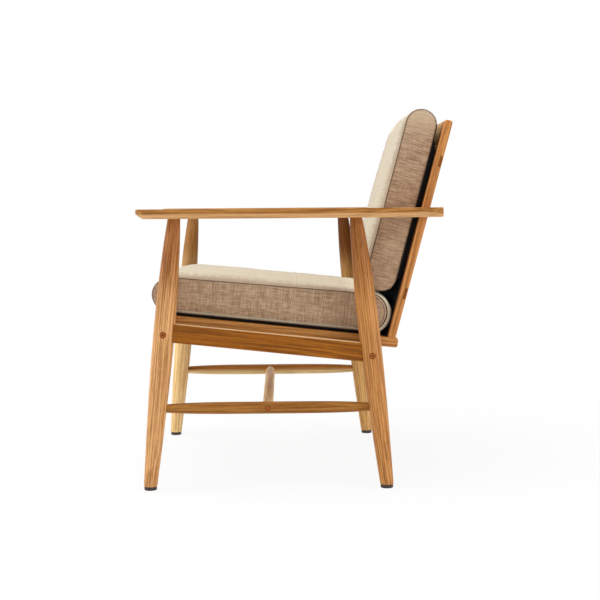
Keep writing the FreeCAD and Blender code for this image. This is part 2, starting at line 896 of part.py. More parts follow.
def make_back_rail(up):
    """A rail behind the back slats, with a tenon through each stile."""
    reach = half_frame - stile_width - wood_gap
    half = back_rail_height / 2
    front = stile_thickness - back_rail_thickness
    board = local_box(-reach, reach, front, stile_thickness, up - half, up + half)
    board = rounded(board, back_slat_edge_round, lambda edge: along(edge, X_AXIS))
    board = board.fuse(back_rail_tenon(up, 0)).cut(slat_screws(wood_gap))
    return placed(one_solid(board), back_place())


def make_crest():
    """The crest rail between the stiles, housed over the slats' tops."""
    reach = half_frame - stile_width - wood_gap
    low = back_length - crest_height
    board = local_box(-reach, reach, 0, stile_thickness, low, back_length)
    board = rounded(
        board, crest_top_round,
        lambda edge: along(edge, X_AXIS) and edge.BoundBox.ZMin > low + crest_height / 2)
    board = rounded(
        board, stile_edge_round,
        lambda edge: along(edge, X_AXIS) and edge.BoundBox.ZMax < low + stile_edge_round)
    board = board.fuse(crest_tenon(0))
    board = board.cut([back_slat_bar(centre, wood_gap) for centre in back_slat_centres()])
    return placed(one_solid(board), back_place())


def make_back_slat(centre):
    """One upright slat of the back."""
    slat = back_slat_bar(centre, 0).cut(slat_screws(wood_gap))
    return placed(one_solid(slat), back_place())


# Cushions, as lofts of rounded sections from side to side

def cushion_section(x, low_y, high_y, low_z, high_z, bulge):
    """A long section at x with round ends and a crowned top."""
    radius = (high_z - low_z) / 2
    mid_z = (high_z + low_z) / 2
    front = low_y + radius
    rear = high_y - radius
    corner = radius / math.sqrt(2)
    front_low = Vector(x, front, low_z)
    front_tip = Vector(x, low_y, mid_z)
    front_high = Vector(x, front, high_z)
    rear_high = Vector(x, rear, high_z)
    rear_tip = Vector(x, high_y, mid_z)
    rear_low = Vector(x, rear, low_z)
    top = Vector(x, (front + rear) / 2, high_z + bulge)
    edges = [
        Part.Arc(front_low, Vector(x, front - corner, mid_z - corner), front_tip).toShape(),
        Part.Arc(front_tip, Vector(x, front - corner, mid_z + corner), front_high).toShape(),
        Part.Arc(front_high, top, rear_high).toShape(),
        Part.Arc(rear_high, Vector(x, rear + corner, mid_z + corner), rear_tip).toShape(),
        Part.Arc(rear_tip, Vector(x, rear + corner, mid_z - corner), rear_low).toShape(),
        Part.makeLine(rear_low, front_low),
    ]
    return Part.Wire(edges)


def cushion_solid(width, side, underside, puff, crown, low_y, high_y, inset):
    """A boxed cushion: side panels at the seams, a puffed band, and a crown.

    low_y and high_y are the ends of the side seam. The flat underside is at z = 0.
    """
    seam_x = width / 2 - inset
    low = underside + inset
    high = underside + side - inset
    front = low_y + inset
    rear = high_y - inset
    sections = []
    for sign in (-1, 1):
        sections.append((sign * seam_x, front, rear, low, high, flat_crown))
        for bulge_share, inset_share in zip(panel_bulge_shares, panel_inset_shares):
            x = sign * (seam_x + panel_bulge * bulge_share)
            near = panel_inset * inset_share
            sections.append((x, front + near, rear - near, low + near, high - near, flat_crown))
    for index in range(-crown_steps, crown_steps + 1):
        share = roll_share * index / crown_steps
        rise = flat_crown + crown * (1 - share * share)
        sections.append((seam_x * share, front - puff, rear + puff, inset, high + puff, rise))
    sections.sort()
    wires = [cushion_section(*section) for section in sections]
    return Part.makeLoft(wires, True, True)


def cushion_parts(width, side, underside, puff, crown, low_y, high_y):
    """Cover, core and base cloth of a cushion in its local frame."""
    outer = cushion_solid(width, side, underside, puff, crown, low_y, high_y, 0)
    inner = cushion_solid(width, side, underside, puff, crown, low_y, high_y, cover_thickness)
    core = cushion_solid(
        width, side, underside, puff, crown, low_y, high_y, cover_thickness + soft_gap)
    radius = (side + underside + puff) / 2
    reach = (width / 2 - cover_thickness) * roll_share
    cloth = local_box(-reach, reach, low_y + radius, high_y - radius, 0, base_cloth_thickness)
    cover = outer.cut(inner).cut(cloth)
    return one_solid(cover), one_solid(core), cloth


def seat_cushion_ends():
    """Local y of the seat cushion's side seam at its front and rear."""
    radius = (seat_cushion_side + seat_cushion_underside + seat_cushion_puff) / 2
    rear = radius * math.tan(lean) - (radius + soft_gap) / math.cos(lean) + radius
    return seat_front() - seat_cushion_nose, rear - seat_cushion_puff


def make_seat_cushion():
    """Cover, core and base cloth of the seat cushion."""
    low_y, high_y = seat_cushion_ends()
    parts = cushion_parts(
        cushion_width, seat_cushion_side, seat_cushion_underside,
        seat_cushion_puff, seat_cushion_crown, low_y, high_y)
    place = seat_place().multiply(Placement(Vector(0, 0, soft_gap), Rotation()))
    return [placed(item, place) for item in parts]


def back_cushion_foot():
    """Height up the back of the back cushion's lower seam end, on the seat cushion."""
    seat_r = (seat_cushion_side + seat_cushion_underside + seat_cushion_puff) / 2
    back_r = (back_cushion_side + back_cushion_underside + back_cushion_puff) / 2
    seat_centre = Vector(0, seat_cushion_ends()[1] + seat_cushion_puff - seat_r, seat_r + soft_gap)
    seen = back_place().inverse().multVec(seat_place().multVec(seat_centre))
    apart = seat_r + back_r + soft_gap
    across = seen.y + back_r + soft_gap
    return seen.z + math.sqrt(apart * apart - across * across) - back_r + back_cushion_puff


def make_back_cushion():
    """Cover, core and base cloth of the back cushion, its underside to the slats."""
    foot = back_cushion_foot()
    parts = cushion_parts(
        cushion_width, back_cushion_side, back_cushion_underside,
        back_cushion_puff, back_cushion_crown, foot, foot + back_cushion_length)
    stand = Placement(Vector(0, -soft_gap, 0), Rotation(X_AXIS, 90))
    place = back_place().multiply(stand)
    return [placed(item, place) for item in parts]


# The whole chair

def build():
    """Every node by name."""
    nodes = {}
    both = {}
    plugs = []
    bolts = []
    nuts = []
    for name, line in (("front", front_line), ("rear", rear_line)):
        both[name + "_leg"] = make_leg(*line, name == "rear")
        both[name + "_glide"] = make_glide(*line)
        nodes[name + "_cross_rail"] = make_cross_rail(*line)
        plugs.append(make_plug(*line))
        bolts.append(make_bolt(*line))
        nuts.append(make_nut(*line))
    both["arm"] = make_arm()
    both["apron"] = make_apron()
    both["side_stretcher"] = make_side_stretcher()
    both["seat_rail"] = make_seat_rail()
    both["back_stile"] = make_stile()
    for name, shape in both.items():
        nodes[name + "_left"] = shape
        nodes[name + "_right"] = mirrored(shape)
    nodes["cross_stretcher"] = make_cross_stretcher()
    nodes["seat_front_member"] = make_seat_cross(False)
    nodes["seat_rear_member"] = make_seat_cross(True)
    for index, start in enumerate(slat_starts()):
        nodes["seat_slat_%d" % (index + 1)] = make_seat_slat(start)
    nodes["crest_rail"] = make_crest()
    nodes["upper_back_rail"] = make_back_rail(upper_back_rail_up)
    nodes["lower_back_rail"] = make_back_rail(lower_back_rail_up)
    for index, centre in enumerate(back_slat_centres()):
        nodes["back_slat_%d" % (index + 1)] = make_back_slat(centre)
    groups = {"leg_plugs": plugs, "leg_bolts": bolts, "barrel_nuts": nuts, "arm_screws": [arm_screw(0)]}
    for name, items in groups.items():
        nodes[name] = Part.makeCompound(items + [mirrored(item) for item in items])
    nodes["seat_frame_screws"] = Part.makeCompound(frame_screws(0))
    nodes["back_slat_screws"] = placed(Part.makeCompound(slat_screws(0)), back_place())
    names = ("cover", "core", "base_cloth")
    for name, shape in zip(names, make_seat_cushion()):
        nodes["seat_cushion_" + name] = shape
    for name, shape in zip(names, make_back_cushion()):
        nodes["back_cushion_" + name] = shape
    return nodes


os.makedirs("parts", exist_ok=True)
for node, solid in build().items():
    solid.exportStep(os.path.join("parts", node + ".step"))
    box = solid.BoundBox
    print("%-24s valid %s solids %d  x %.1f..%.1f  y %.1f..%.1f  z %.1f..%.1f" % (
        node, solid.isValid(), len(solid.Solids),
        box.XMin, box.XMax, box.YMin, box.YMax, box.ZMin, box.ZMax))
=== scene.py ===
"""Dresses the oak lounge armchair: turned and bevelled oak, and two sewn linen cushions."""
import logging
import math
from collections.abc import Callable, Iterable
from dataclasses import dataclass
from enum import Enum
from functools import partial
from typing import Self

import bmesh
import bpy
import numpy as np
from bmesh.types import BMesh, BMVert
from bpy.types import Material, Mesh, Node, NodeSocket, NodeTree, Object
from mathutils import Matrix, Vector, noise


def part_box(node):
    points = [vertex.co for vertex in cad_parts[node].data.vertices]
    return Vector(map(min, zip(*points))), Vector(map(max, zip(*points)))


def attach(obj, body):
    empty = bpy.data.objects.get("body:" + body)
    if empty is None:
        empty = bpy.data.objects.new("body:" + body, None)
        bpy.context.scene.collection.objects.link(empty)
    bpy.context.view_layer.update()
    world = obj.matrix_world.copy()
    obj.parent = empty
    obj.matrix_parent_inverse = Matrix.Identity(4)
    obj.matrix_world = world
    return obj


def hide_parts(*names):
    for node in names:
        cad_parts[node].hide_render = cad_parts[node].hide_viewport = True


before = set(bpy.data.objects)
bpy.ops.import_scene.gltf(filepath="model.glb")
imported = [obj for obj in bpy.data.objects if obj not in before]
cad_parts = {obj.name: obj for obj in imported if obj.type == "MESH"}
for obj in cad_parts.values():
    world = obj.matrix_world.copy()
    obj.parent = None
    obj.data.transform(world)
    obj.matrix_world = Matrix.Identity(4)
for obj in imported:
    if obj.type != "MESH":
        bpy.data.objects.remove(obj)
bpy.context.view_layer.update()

log = logging.getLogger("armchair")

Colour = tuple[float, float, float, float]
Point = tuple[float, float, float]
Flat = tuple[float, float]
Inputs = dict[str, tuple[str, object]]

NUMBER = "NodeSocketFloat"
WHOLE = "NodeSocketInt"
VECTOR = "NodeSocketVector"
FRAME_BODY = "frame"
SIDES = {"left": 1.0, "right": -1.0}
X_AXIS, Y_AXIS, Z_AXIS = (Vector(row) for row in Matrix.Identity(3))
WHITE = (1.0, 1.0, 1.0, 1.0)
ALL_SMOOTH = 180.0

# The seat and the back lean in degrees about the line where they meet
SEAT_TILT = 6.2
BACK_TILT = 14.9
HINGE = (0.0, 0.1937, 0.312417)

# Places of the two back rails up the back
BACK_RAIL_HEIGHTS = (0.0985, 0.3853)


def srgb(red: float, green: float, blue: float) -> Colour:
    """A linear colour with full alpha from its 0 to 255 display values."""
    linear = []
    for share in (red / 255.0, green / 255.0, blue / 255.0):
        linear.append(share / 12.92 if share <= 0.04045 else ((share + 0.055) / 1.055) ** 2.4)
    return (*linear, 1.0)


class Nodes:
    """Short ways to make and join the nodes of one tree."""

    def __init__(self, tree: NodeTree) -> None:
        """Works on a tree."""
        self.tree = tree

    def feed(self, socket: NodeSocket, value: object) -> None:
        """Links a socket to another one, or sets its value."""
        if isinstance(value, NodeSocket):
            self.tree.links.new(value, socket)
        else:
            socket.default_value = value

    def fill(self, node: Node, inputs: dict) -> None:
        """Links or sets a node's inputs, by name or number."""
        for key, value in inputs.items():
            self.feed(node.inputs[key], value)

    def add(self, kind: str, inputs: dict | None = None, **settings: object) -> Node:
        """Makes a node.

        Args:
            kind: The node's type.
            inputs: Values or sockets for its inputs, by name or number.
            **settings: Properties of the node itself.

        Returns:
            The new node.
        """
        node = self.tree.nodes.new(kind)
        for key, value in settings.items():
            setattr(node, key, value)
        self.fill(node, inputs or {})
        return node

    def math(self, operation: str, *values: object, clamp: bool = False) -> NodeSocket:
        """The result of a Math node."""
        node = self.add("ShaderNodeMath", dict(enumerate(values)), operation=operation, use_clamp=clamp)
        return node.outputs[0]

    def times(self, first: object, second: object) -> NodeSocket:
        """The product of two numbers."""
        return self.math("MULTIPLY", first, second)

    def plus(self, first: object, second: object) -> NodeSocket:
        """The sum of two numbers."""
        return self.math("ADD", first, second)

    def minus(self, first: object, second: object) -> NodeSocket:
        """A number less another one."""
        return self.math("SUBTRACT", first, second)

    def vector(self, operation: str, *values: object) -> NodeSocket:
        """The vector result of a Vector Math node."""
        return self.add("ShaderNodeVectorMath", dict(enumerate(values)), operation=operation).outputs[0]

    def stretched(self, vector: object, *factors: float) -> NodeSocket:
        """A vector times a factor along each axis."""
        return self.vector("MULTIPLY", vector, factors)

    def scaled(self, vector: object, scale: object) -> NodeSocket:
        """A vector times a number."""
        node = self.add("ShaderNodeVectorMath", {"Vector": vector, "Scale": scale}, operation="SCALE")
        return node.outputs[0]

    def length(self, vector: object) -> NodeSocket:
        """The length of a vector."""
        return self.add("ShaderNodeVectorMath", {0: vector}, operation="LENGTH").outputs["Value"]

    def split(self, vector: object) -> list[NodeSocket]:
        """The three parts of a vector."""
        return list(self.add("ShaderNodeSeparateXYZ", {0: vector}).outputs)

    def joined(self, x: object, y: object, z: object) -> NodeSocket:
        """A vector from three numbers."""
        return self.add("ShaderNodeCombineXYZ", {0: x, 1: y, 2: z}).outputs[0]

    def coordinates(self, kind: str) -> NodeSocket:
        """The shaded point's coordinates or normal."""
        return self.add("ShaderNodeTexCoord").outputs[kind]

    def attribute(self, name: str, output: str = "Fac") -> NodeSocket:
        """A value stored on the piece."""
        return self.add("ShaderNodeAttribute", attribute_name=name).outputs[output]

    def blend(self, factor: object, first: object, second: object, mode: str = "MIX") -> NodeSocket:
        """A mix of two colours."""
        node = self.add("ShaderNodeMix", {"Factor": factor, 6: first, 7: second}, data_type="RGBA",
                        blend_type=mode, clamp_factor=True)
        return node.outputs[2]

    def layered(self, base: object, *layers: tuple[object, object]) -> object:
        """A colour with other colours laid over it, each by its share."""
        for share, tone in layers:
            base = self.blend(share, base, tone)
        return base

    def spread(self, value: object, low: float, high: float, to_low: float = 0.0,
               to_high: float = 1.0) -> NodeSocket:
        """A value mapped from one range to another, smoothly and within it."""
        inputs = {"Value": value, "From Min": low, "From Max": high, "To Min": to_low, "To Max": to_high}
        return self.add("ShaderNodeMapRange", inputs, interpolation_type="SMOOTHSTEP").outputs[0]

    def stripe(self, value: object, centre: float, half_width: float) -> NodeSocket:
        """1 where a value is near a centre, falling to 0 at the half width."""
        return self.spread(self.math("ABSOLUTE", self.minus(value, centre)), half_width, half_width * 0.45)

    def noise(self, vector: object, scale: float = 1.0, detail: float = 2.0,
              roughness: float = 0.5) -> NodeSocket:
        """The value of a noise texture."""
        inputs = {"Vector": vector, "Scale": scale, "Detail": detail, "Roughness": roughness}
        return self.add("ShaderNodeTexNoise", inputs).outputs[0]

    def relief(self, shader: Node, height: object, distance: float, strength: float) -> None:
        """Gives a shader a bumped normal."""
        bump = self.add("ShaderNodeBump", {"Height": height, "Distance": distance, "Strength": strength})
        self.feed(shader.inputs["Normal"], bump.outputs[0])


def add_inputs(tree: NodeTree, inputs: Inputs) -> None:
    """Gives a tree its named inputs, each with a socket type and a default value."""
    for label, (kind, default) in inputs.items():
        socket = tree.interface.new_socket(label, in_out="INPUT", socket_type=kind)
        if default is not None:
            socket.default_value = default


def shader_group(name: str, inputs: Inputs) -> tuple[Nodes, object]:
    """A new shader node group: its node helper and its input sockets."""
    nodes = Nodes(bpy.data.node_groups.new(name, "ShaderNodeTree"))
    add_inputs(nodes.tree, inputs)
    return nodes, nodes.add("NodeGroupInput").outputs


def close_group(nodes: Nodes, results: dict[str, NodeSocket]) -> NodeTree:
    """Ends a shader node group in its number outputs."""
    for label in results:
        nodes.tree.interface.new_socket(label, in_out="OUTPUT", socket_type=NUMBER)
    nodes.add("NodeGroupOutput", results)
    return nodes.tree


def build_grain_group() -> NodeTree:
    """Oak grain in a space whose Z runs along the wood, in metres.

    Returns:
        The group, with Figure, Streak, Pore and Fleck from 0 to 1.
    """
    nodes, inside = shader_group("oak_grain", {
        "Vector": (VECTOR, None), "Ring Spacing": (NUMBER, 0.0045), "Wander": (NUMBER, 0.012)})
    place = inside["Vector"]
    slow = nodes.stretched(place, 9.0, 9.0, 1.6)
    bend = nodes.add("ShaderNodeTexNoise", {"Vector": slow, "Scale": 1.0, "Detail": 2.0}).outputs["Color"]
    push = nodes.scaled(nodes.vector("SUBTRACT", bend, (0.5, 0.5, 0.5)), inside["Wander"])
    moved = nodes.vector("ADD", place, nodes.stretched(push, 2.0, 2.0, 0.0))
    across = nodes.math("DIVIDE", nodes.length(nodes.stretched(moved, 1.0, 1.0, 0.0)), inside["Ring Spacing"])
    wobble = nodes.times(nodes.noise(nodes.stretched(place, 60.0, 60.0, 5.0)), 0.9)
    ring = nodes.math("FRACT", nodes.plus(across, wobble))
    streak = nodes.noise(nodes.stretched(moved, 260.0, 260.0, 6.0), 1.0, 3.0, 0.65)
    pore = nodes.spread(nodes.noise(nodes.stretched(moved, 1500.0, 1500.0, 60.0), 1.0, 1.0), 0.56, 0.70)
    fleck = nodes.noise(nodes.stretched(place, 420.0, 90.0, 46.0), 1.0, 1.0)
    rise, fall = nodes.spread(ring, 0.0, 0.72), nodes.spread(ring, 0.86, 1.0)
    return close_group(nodes, {
        "Figure": nodes.math("SUBTRACT", rise, fall, clamp=True),
        "Streak": nodes.spread(streak, 0.45, 0.61),
        "Pore": nodes.times(pore, nodes.spread(ring, 0.35, 0.05, 0.35, 1.0)),
        "Fleck": nodes.spread(fleck, 0.66, 0.78),
    })


def build_weave_group() -> NodeTree:
    """A slubby plain weave on a flat map in metres.

    Returns:
        The group, with Warp, Weft and Slub tones and the threads' Height, from 0 to 1.
    """
    nodes, inside = shader_group("slub_weave", {"Vector": (VECTOR, None), "Thread Pitch": (NUMBER, 0.0009)})
    u, v, _ = nodes.split(inside["Vector"])
    across, along = (nodes.math("DIVIDE", value, inside["Thread Pitch"]) for value in (u, v))
    tones, slubs, threads, humps = [], [], [], []
    for index, (run, line) in enumerate(((along, across), (across, along))):
        thread = nodes.math("FLOOR", line)
        own = nodes.add("ShaderNodeTexWhiteNoise", {"W": nodes.plus(thread, 37.0 * index)},
                        noise_dimensions="1D").outputs[0]
        bands = nodes.joined(nodes.times(line, 0.40), nodes.times(run, 0.032), 7.0 * index)
        coarse = nodes.noise(bands, 1.0, 1.0)
        tones.append(nodes.plus(nodes.times(own, 0.35), nodes.spread(coarse, 0.26, 0.74, 0.0, 0.65)))
        lumps = nodes.joined(nodes.times(thread, 0.83), nodes.times(run, 0.035), 3.0 + index)
        slubs.append(nodes.spread(nodes.noise(lumps, 1.0, 1.0), 0.66, 0.80))
        threads.append(thread)
        humps.append(nodes.math("SINE", nodes.times(nodes.math("FRACT", line), math.pi)))
    over = nodes.math("PINGPONG", nodes.plus(*threads), 1.0)
    height = nodes.plus(nodes.times(humps[0], over), nodes.times(humps[1], nodes.minus(1.0, over)))
    slub = nodes.math("MAXIMUM", *slubs)
    height = nodes.plus(nodes.times(height, 0.7), nodes.times(slub, 0.3))
    return close_group(nodes, {"Warp": tones[0], "Weft": tones[1], "Slub": slub, "Height": height})


GRAIN = build_grain_group()
WEAVE = build_weave_group()


def new_material(name: str) -> tuple[Material, Nodes, Node]:
    """A new material, its node helper and its Principled shader."""
    material = bpy.data.materials.new(name)
    material.use_nodes = True
    return material, Nodes(material.node_tree), material.node_tree.nodes["Principled BSDF"]


class Finish:
    """What all finishes share."""

    @classmethod
    def of(cls, *tones: Point, **more: object) -> Self:
        """A finish from its tones as displayed, in the order of its colours, and its other values."""
        return cls(*(srgb(*tone) for tone in tones), **more)


class GrainSource(Enum):
    """Where a wood finish reads the direction of its grain."""

    ATTRIBUTE = "grain"
    OBJECT = "object"


@dataclass(frozen=True)
class OakFinish(Finish):
    """Oiled oak, from its pale latewood to its dark pores."""

    pale: Colour
    warm: Colour
    deep: Colour
    pore: Colour
    ring_spacing: float = 0.0052
    roughness: float = 0.46
    specular: float = 0.16
    bump: float = 0.00012
    patch_scale: float = 14.0
    patch_amount: float = 0.25
    # painted light: a paler tone blended on by the way a face turns, for faces lit from above or by the
    # floor's bounce
    worn: Colour | None = None
    worn_from: float = 0.7
    worn_to: float = 0.9
    # painted shade: a darker tone multiplied on above a height, for the shade under the arms at the legs'
    # tops
    aged: Colour | None = None
    aged_from: float = 0.36
    aged_to: float = 0.50

    def material(self, name: str, source: GrainSource, turn: Matrix | None = None,
                 shift: Point = (0.0, 0.0, 0.0)) -> Material:
        """Builds the finish for one family of pieces.

        Args:
            name: The material's name.
            source: Whether the grain's direction comes from the piece or from a turn.
            turn: Rotation from the chair's frame to the grain's, for the object source.
            shift: Where the tree's heart lies, in the grain's frame.

        Returns:
            The material.
        """
        material, nodes, shader = new_material(name)
        if source is GrainSource.ATTRIBUTE:
            place = nodes.attribute(source.value, "Vector")
        else:
            inputs = {"Vector": nodes.coordinates("Object"), "Rotation": tuple(turn.to_euler())}
            place = nodes.add("ShaderNodeMapping", inputs).outputs[0]
        place = nodes.vector("ADD", place, shift)
        grain = nodes.add("ShaderNodeGroup", node_tree=GRAIN)
        nodes.fill(grain, {"Vector": place, "Ring Spacing": self.ring_spacing})
        figure, streak, pore, fleck = grain.outputs
        patch = nodes.noise(nodes.stretched(place, 1.0, 1.0, 0.22), self.patch_scale)
        base = nodes.layered(
            self.warm, (figure, self.pale), (nodes.times(streak, 0.72), self.deep),
            (nodes.times(pore, 0.8), self.pore), (nodes.times(fleck, 0.35), self.pale),
            (nodes.spread(patch, 0.35, 0.65, 0.0, self.patch_amount), self.warm))
        # painted shade: darker towards the top, where the arm shades the leg
        if self.aged:
            height = nodes.split(nodes.coordinates("Object"))[2]
            share = nodes.spread(height, self.aged_from, self.aged_to)
            base = nodes.blend(share, base, self.aged, "MULTIPLY")
        # painted light: paler where the surface faces up or down, where the lamps or the floor's bounce light
        # it
        if self.worn:
            facing = nodes.split(nodes.coordinates("Normal"))[2]
            worn = nodes.times(nodes.spread(facing, self.worn_from, self.worn_to),
                               nodes.minus(0.9, nodes.times(streak, 0.4)))
            base = nodes.blend(worn, base, self.worn)
        nodes.fill(shader, {"Base Color": base, "Specular IOR Level": self.specular,
                            "Roughness": nodes.plus(self.roughness, nodes.times(pore, 0.18))})
        nodes.relief(shader, nodes.minus(nodes.times(figure, 0.2), pore), self.bump, 0.8)
        return material


@dataclass(frozen=True)
class EndGrainFinish(Finish):
    """Oak seen at the end of its grain, with a darker rim: partly an oiled glue line, partly painted shade of
    the gap round it.
    """

    heart: Colour = srgb(70, 30, 10)
    ring: Colour = srgb(168, 96, 44)
    wood: Colour = srgb(134, 66, 24)
    # rim: partly the oiled glue line's own colour, partly painted shade of the gap round the end
    rim: Colour = srgb(84, 40, 12)
    roughness: float = 0.55
    specular: float = 0.1

    def material(self, name: str) -> Material:
        """Builds the finish, which reads each end's own place and its depth from the rim."""
        material, nodes, shader = new_material(name)
        x, y, depth = nodes.split(nodes.attribute("disc", "Vector"))
        flat = nodes.joined(x, y, 0.0)
        depth = nodes.plus(depth, nodes.times(nodes.minus(nodes.noise(flat, 420.0), 0.5), 0.0018))
        base = nodes.layered(
            self.wood, (nodes.spread(nodes.noise(flat, 900.0, 3.0), 0.4, 0.62), self.ring),
            (nodes.times(nodes.stripe(depth, 0.0036, 0.0014), 0.8), self.ring),
            (nodes.spread(depth, 0.0048, 0.0060), self.heart),
            (nodes.spread(depth, 0.0015, 0.0006), self.rim))
        nodes.fill(shader, {"Base Color": base, "Roughness": self.roughness,
                            "Specular IOR Level": self.specular})
        nodes.relief(shader, nodes.noise(flat, 2600.0, 1.0), 0.0001, 0.6)
        return material


@dataclass(frozen=True)
class WeaveFinish(Finish):
    """Slubby woven cloth, with painted fold shade beside its seams and painted highlights."""

    pale: Colour
    mid: Colour
    dark: Colour
    seam: Colour
    thread_pitch: float = 0.0009
    bump: float = 0.0003
    sheen: float = 0.25
    warp_share: float = 0.5
    # painted shade: a darker taupe laid in folds and beside the seams, where shade falls
    gather: Colour | None = None
    # painted light: a near-white tone laid on the band's rear end, which the back shades
    rear_light: Colour = srgb(255, 244, 216)
    hem: Colour | None = None
    hem_low: float = 0.0062
    hem_height: float = 0.0072
    doubled_from: float | None = None
    # painted light: a paler tone towards the top of the cushion's sides, as if lit from above
    crown: Colour | None = None
    top_light_low: float = 0.715
    top_light_high: float = 0.785

    def material(self, name: str) -> Material:
        """Builds the cloth, which reads the piece's own flat map."""
        material, nodes, shader = new_material(name)
        place = nodes.add("ShaderNodeUVMap", uv_map="weave").outputs[0]
        weave = nodes.add("ShaderNodeGroup", node_tree=WEAVE)
        nodes.fill(weave, {"Vector": place, "Thread Pitch": self.thread_pitch})
        warp, weft, slub, height = weave.outputs
        tone = nodes.plus(nodes.times(warp, self.warp_share), nodes.times(weft, 1.0 - self.warp_share))
        base = nodes.layered(
            self.dark, (nodes.spread(tone, 0.2, 0.8), self.mid), (nodes.times(slub, 0.5), self.pale),
            # painted shade: darker in the hollows between threads
            (nodes.times(nodes.minus(1.0, height), 0.22), self.dark),
            (nodes.spread(nodes.noise(place, 9.0, 3.0), 0.3, 0.7, 0.0, 0.3), self.mid))
        near = nodes.attribute("near_seam")
        base = self.sewn(nodes, base, place, near)
        # the seam line: partly the thread's own dark colour, partly painted shade of the seam's groove
        base = nodes.blend(nodes.spread(near, 0.0021, 0.0007), base, self.seam)
        nodes.fill(shader, {"Base Color": base, "Roughness": nodes.minus(0.95, nodes.times(tone, 0.1)),
                            "Sheen Weight": self.sheen, "Sheen Roughness": 0.5, "Specular IOR Level": 0.2})
        nodes.relief(shader, height, self.bump, 0.9)
        return material

    def sewn(self, nodes: Nodes, base: NodeSocket, place: NodeSocket, near: NodeSocket) -> NodeSocket:
        """The cloth's colour with its painted top highlight, painted fold shade, painted rear-end light, hem
        and doubled seam.

        Args:
            nodes: The material's node helper.
            base: The woven colour.
            place: The flat map.
            near: Distance from the side seam.

        Returns:
            The colour beside the seams.
        """
        u, v, _ = nodes.split(place)
        # painted light: paler towards the top, where light falls from above
        if self.crown:
            height = nodes.split(nodes.coordinates("Object"))[2]
            share = nodes.spread(height, self.top_light_low, self.top_light_high, 0.0, 0.34)
            base = nodes.blend(share, base, self.crown)
        # painted shade: noisy folds and a darkening beside the seam for gathered cloth; painted light: the
        # band's rear end made paler
        if self.gather:
            fold = nodes.noise(nodes.joined(nodes.times(near, 9.0), nodes.times(v, 210.0), 0.0))
            crease = nodes.times(nodes.spread(fold, 0.40, 0.60), nodes.spread(near, 0.12, 0.008))
            beside = nodes.spread(near, 0.065, 0.002, 0.0, 0.75)
            shade = nodes.math("MAXIMUM", nodes.times(crease, 0.72), beside)
            base = nodes.layered(base, (nodes.times(shade, nodes.attribute("gathered")), self.gather),
                                 (nodes.times(nodes.attribute("rear_light"), 0.85), self.rear_light))
        if self.hem:
            top = self.hem_low + self.hem_height
            base = nodes.blend(nodes.times(nodes.spread(v, top + 0.0006, top), 0.7), base, self.hem)
            dash = nodes.spread(nodes.math("FRACT", nodes.math("DIVIDE", u, 0.0036)), 0.35, 0.55)
            for row, strength in ((0.35, 0.35), (1.0, 0.6)):
                line = nodes.stripe(v, self.hem_low + self.hem_height * row, 0.0009)
                base = nodes.blend(nodes.times(nodes.times(line, dash), strength), base, self.seam)
        if self.doubled_from:
            here = nodes.spread(nodes.math("FRACT", u), self.doubled_from, self.doubled_from + 0.012)
            for centre, half_width, strength, tone in ((0.0030, 0.0014, 0.7, self.pale),
                                                       (0.0052, 0.0012, 0.75, self.seam)):
                line = nodes.times(nodes.stripe(near, centre, half_width), here)
                base = nodes.blend(nodes.times(line, strength), base, tone)
        return base


@dataclass(frozen=True)
class PlainFinish(Finish):
    """A moulded, spun or plated surface with a fine speckle."""

    base: Colour
    speck: Colour
    roughness: float
    metallic: float = 0.0
    speck_scale: float = 700.0
    bump: float = 0.00008

    def material(self, name: str) -> Material:
        """Builds the finish on the chair's own coordinates."""
        material, nodes, shader = new_material(name)
        speck = nodes.noise(nodes.coordinates("Object"), self.speck_scale, 3.0, 0.6)
        base = nodes.blend(nodes.spread(speck, 0.4, 0.68), self.base, self.speck)
        nodes.fill(shader, {"Base Color": base, "Metallic": self.metallic,
                            "Roughness": nodes.plus(self.roughness - 0.06, nodes.times(speck, 0.12))})
        nodes.relief(shader, speck, self.bump, 0.6)
        return material


def linked(item: Object) -> Object:
    """An object, now in the scene."""
    bpy.context.scene.collection.objects.link(item)
    return item


def evaluated(item: Object) -> Mesh:
    """An object's mesh with its modifiers applied."""
    graph = bpy.context.evaluated_depsgraph_get()
    return bpy.data.meshes.new_from_object(item.evaluated_get(graph), depsgraph=graph)


def new_piece(name: str, mesh: Mesh, materials: list[Material]) -> Object:
    """A new object at the origin with its materials in slot order."""
    mesh.name = name
    if mesh.materials:
        mesh.materials.clear()
    for material in materials:
        mesh.materials.append(material)
    return linked(bpy.data.objects.new(name, mesh))


def add_piece(name: str, mesh: Mesh, materials: list[Material], body: str, slot: str, *nodes: str,
              sharp: float | None = None) -> Object:
    """A finished piece on its body.

    Args:
        name: The piece's name.
        mesh: Its mesh, with its place in it.
        materials: Its material slots in order.
        body: The body that it rides on.
        slot: The record's slot that it shows. Not used.
        *nodes: The nodes that it stands for.
        sharp: Edges over this angle in degrees stay sharp in its smooth shading. None leaves it flat.

    Returns:
        The object.
    """
    piece = new_piece(name, mesh, materials)
    if sharp:
        mesh.polygons.foreach_set("use_smooth", [True] * len(mesh.polygons))
        if sharp < ALL_SMOOTH:
            mesh.set_sharp_from_angle(angle=math.radians(sharp))
        mesh.update()
    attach(piece, body)
    if nodes:
        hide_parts(*nodes)
    log.info("piece %s: %d faces", piece.name, len(mesh.polygons))
    return piece


def merged(name: str, builders: list[BMesh]) -> Mesh:
    """One mesh from several bmeshes, which are freed."""
    whole = bmesh.new()
    for item in builders:
        part = bpy.data.meshes.new("part")
        item.to_mesh(part)
        item.free()
        whole.from_mesh(part)
        bpy.data.meshes.remove(part)
    mesh = bpy.data.meshes.new(name)
    whole.to_mesh(mesh)
    whole.free()
    return mesh


def bridge(builder: BMesh, first: list, second: list) -> None:
    """Faces between two closed rings, the first of which may be one point."""
    for index in range(len(second)):
        after = (index + 1) % len(second)
        if len(first) == 1:
            builder.faces.new((first[0], second[index], second[after]))
        else:
            builder.faces.new((first[index], second[index], second[after], first[after]))


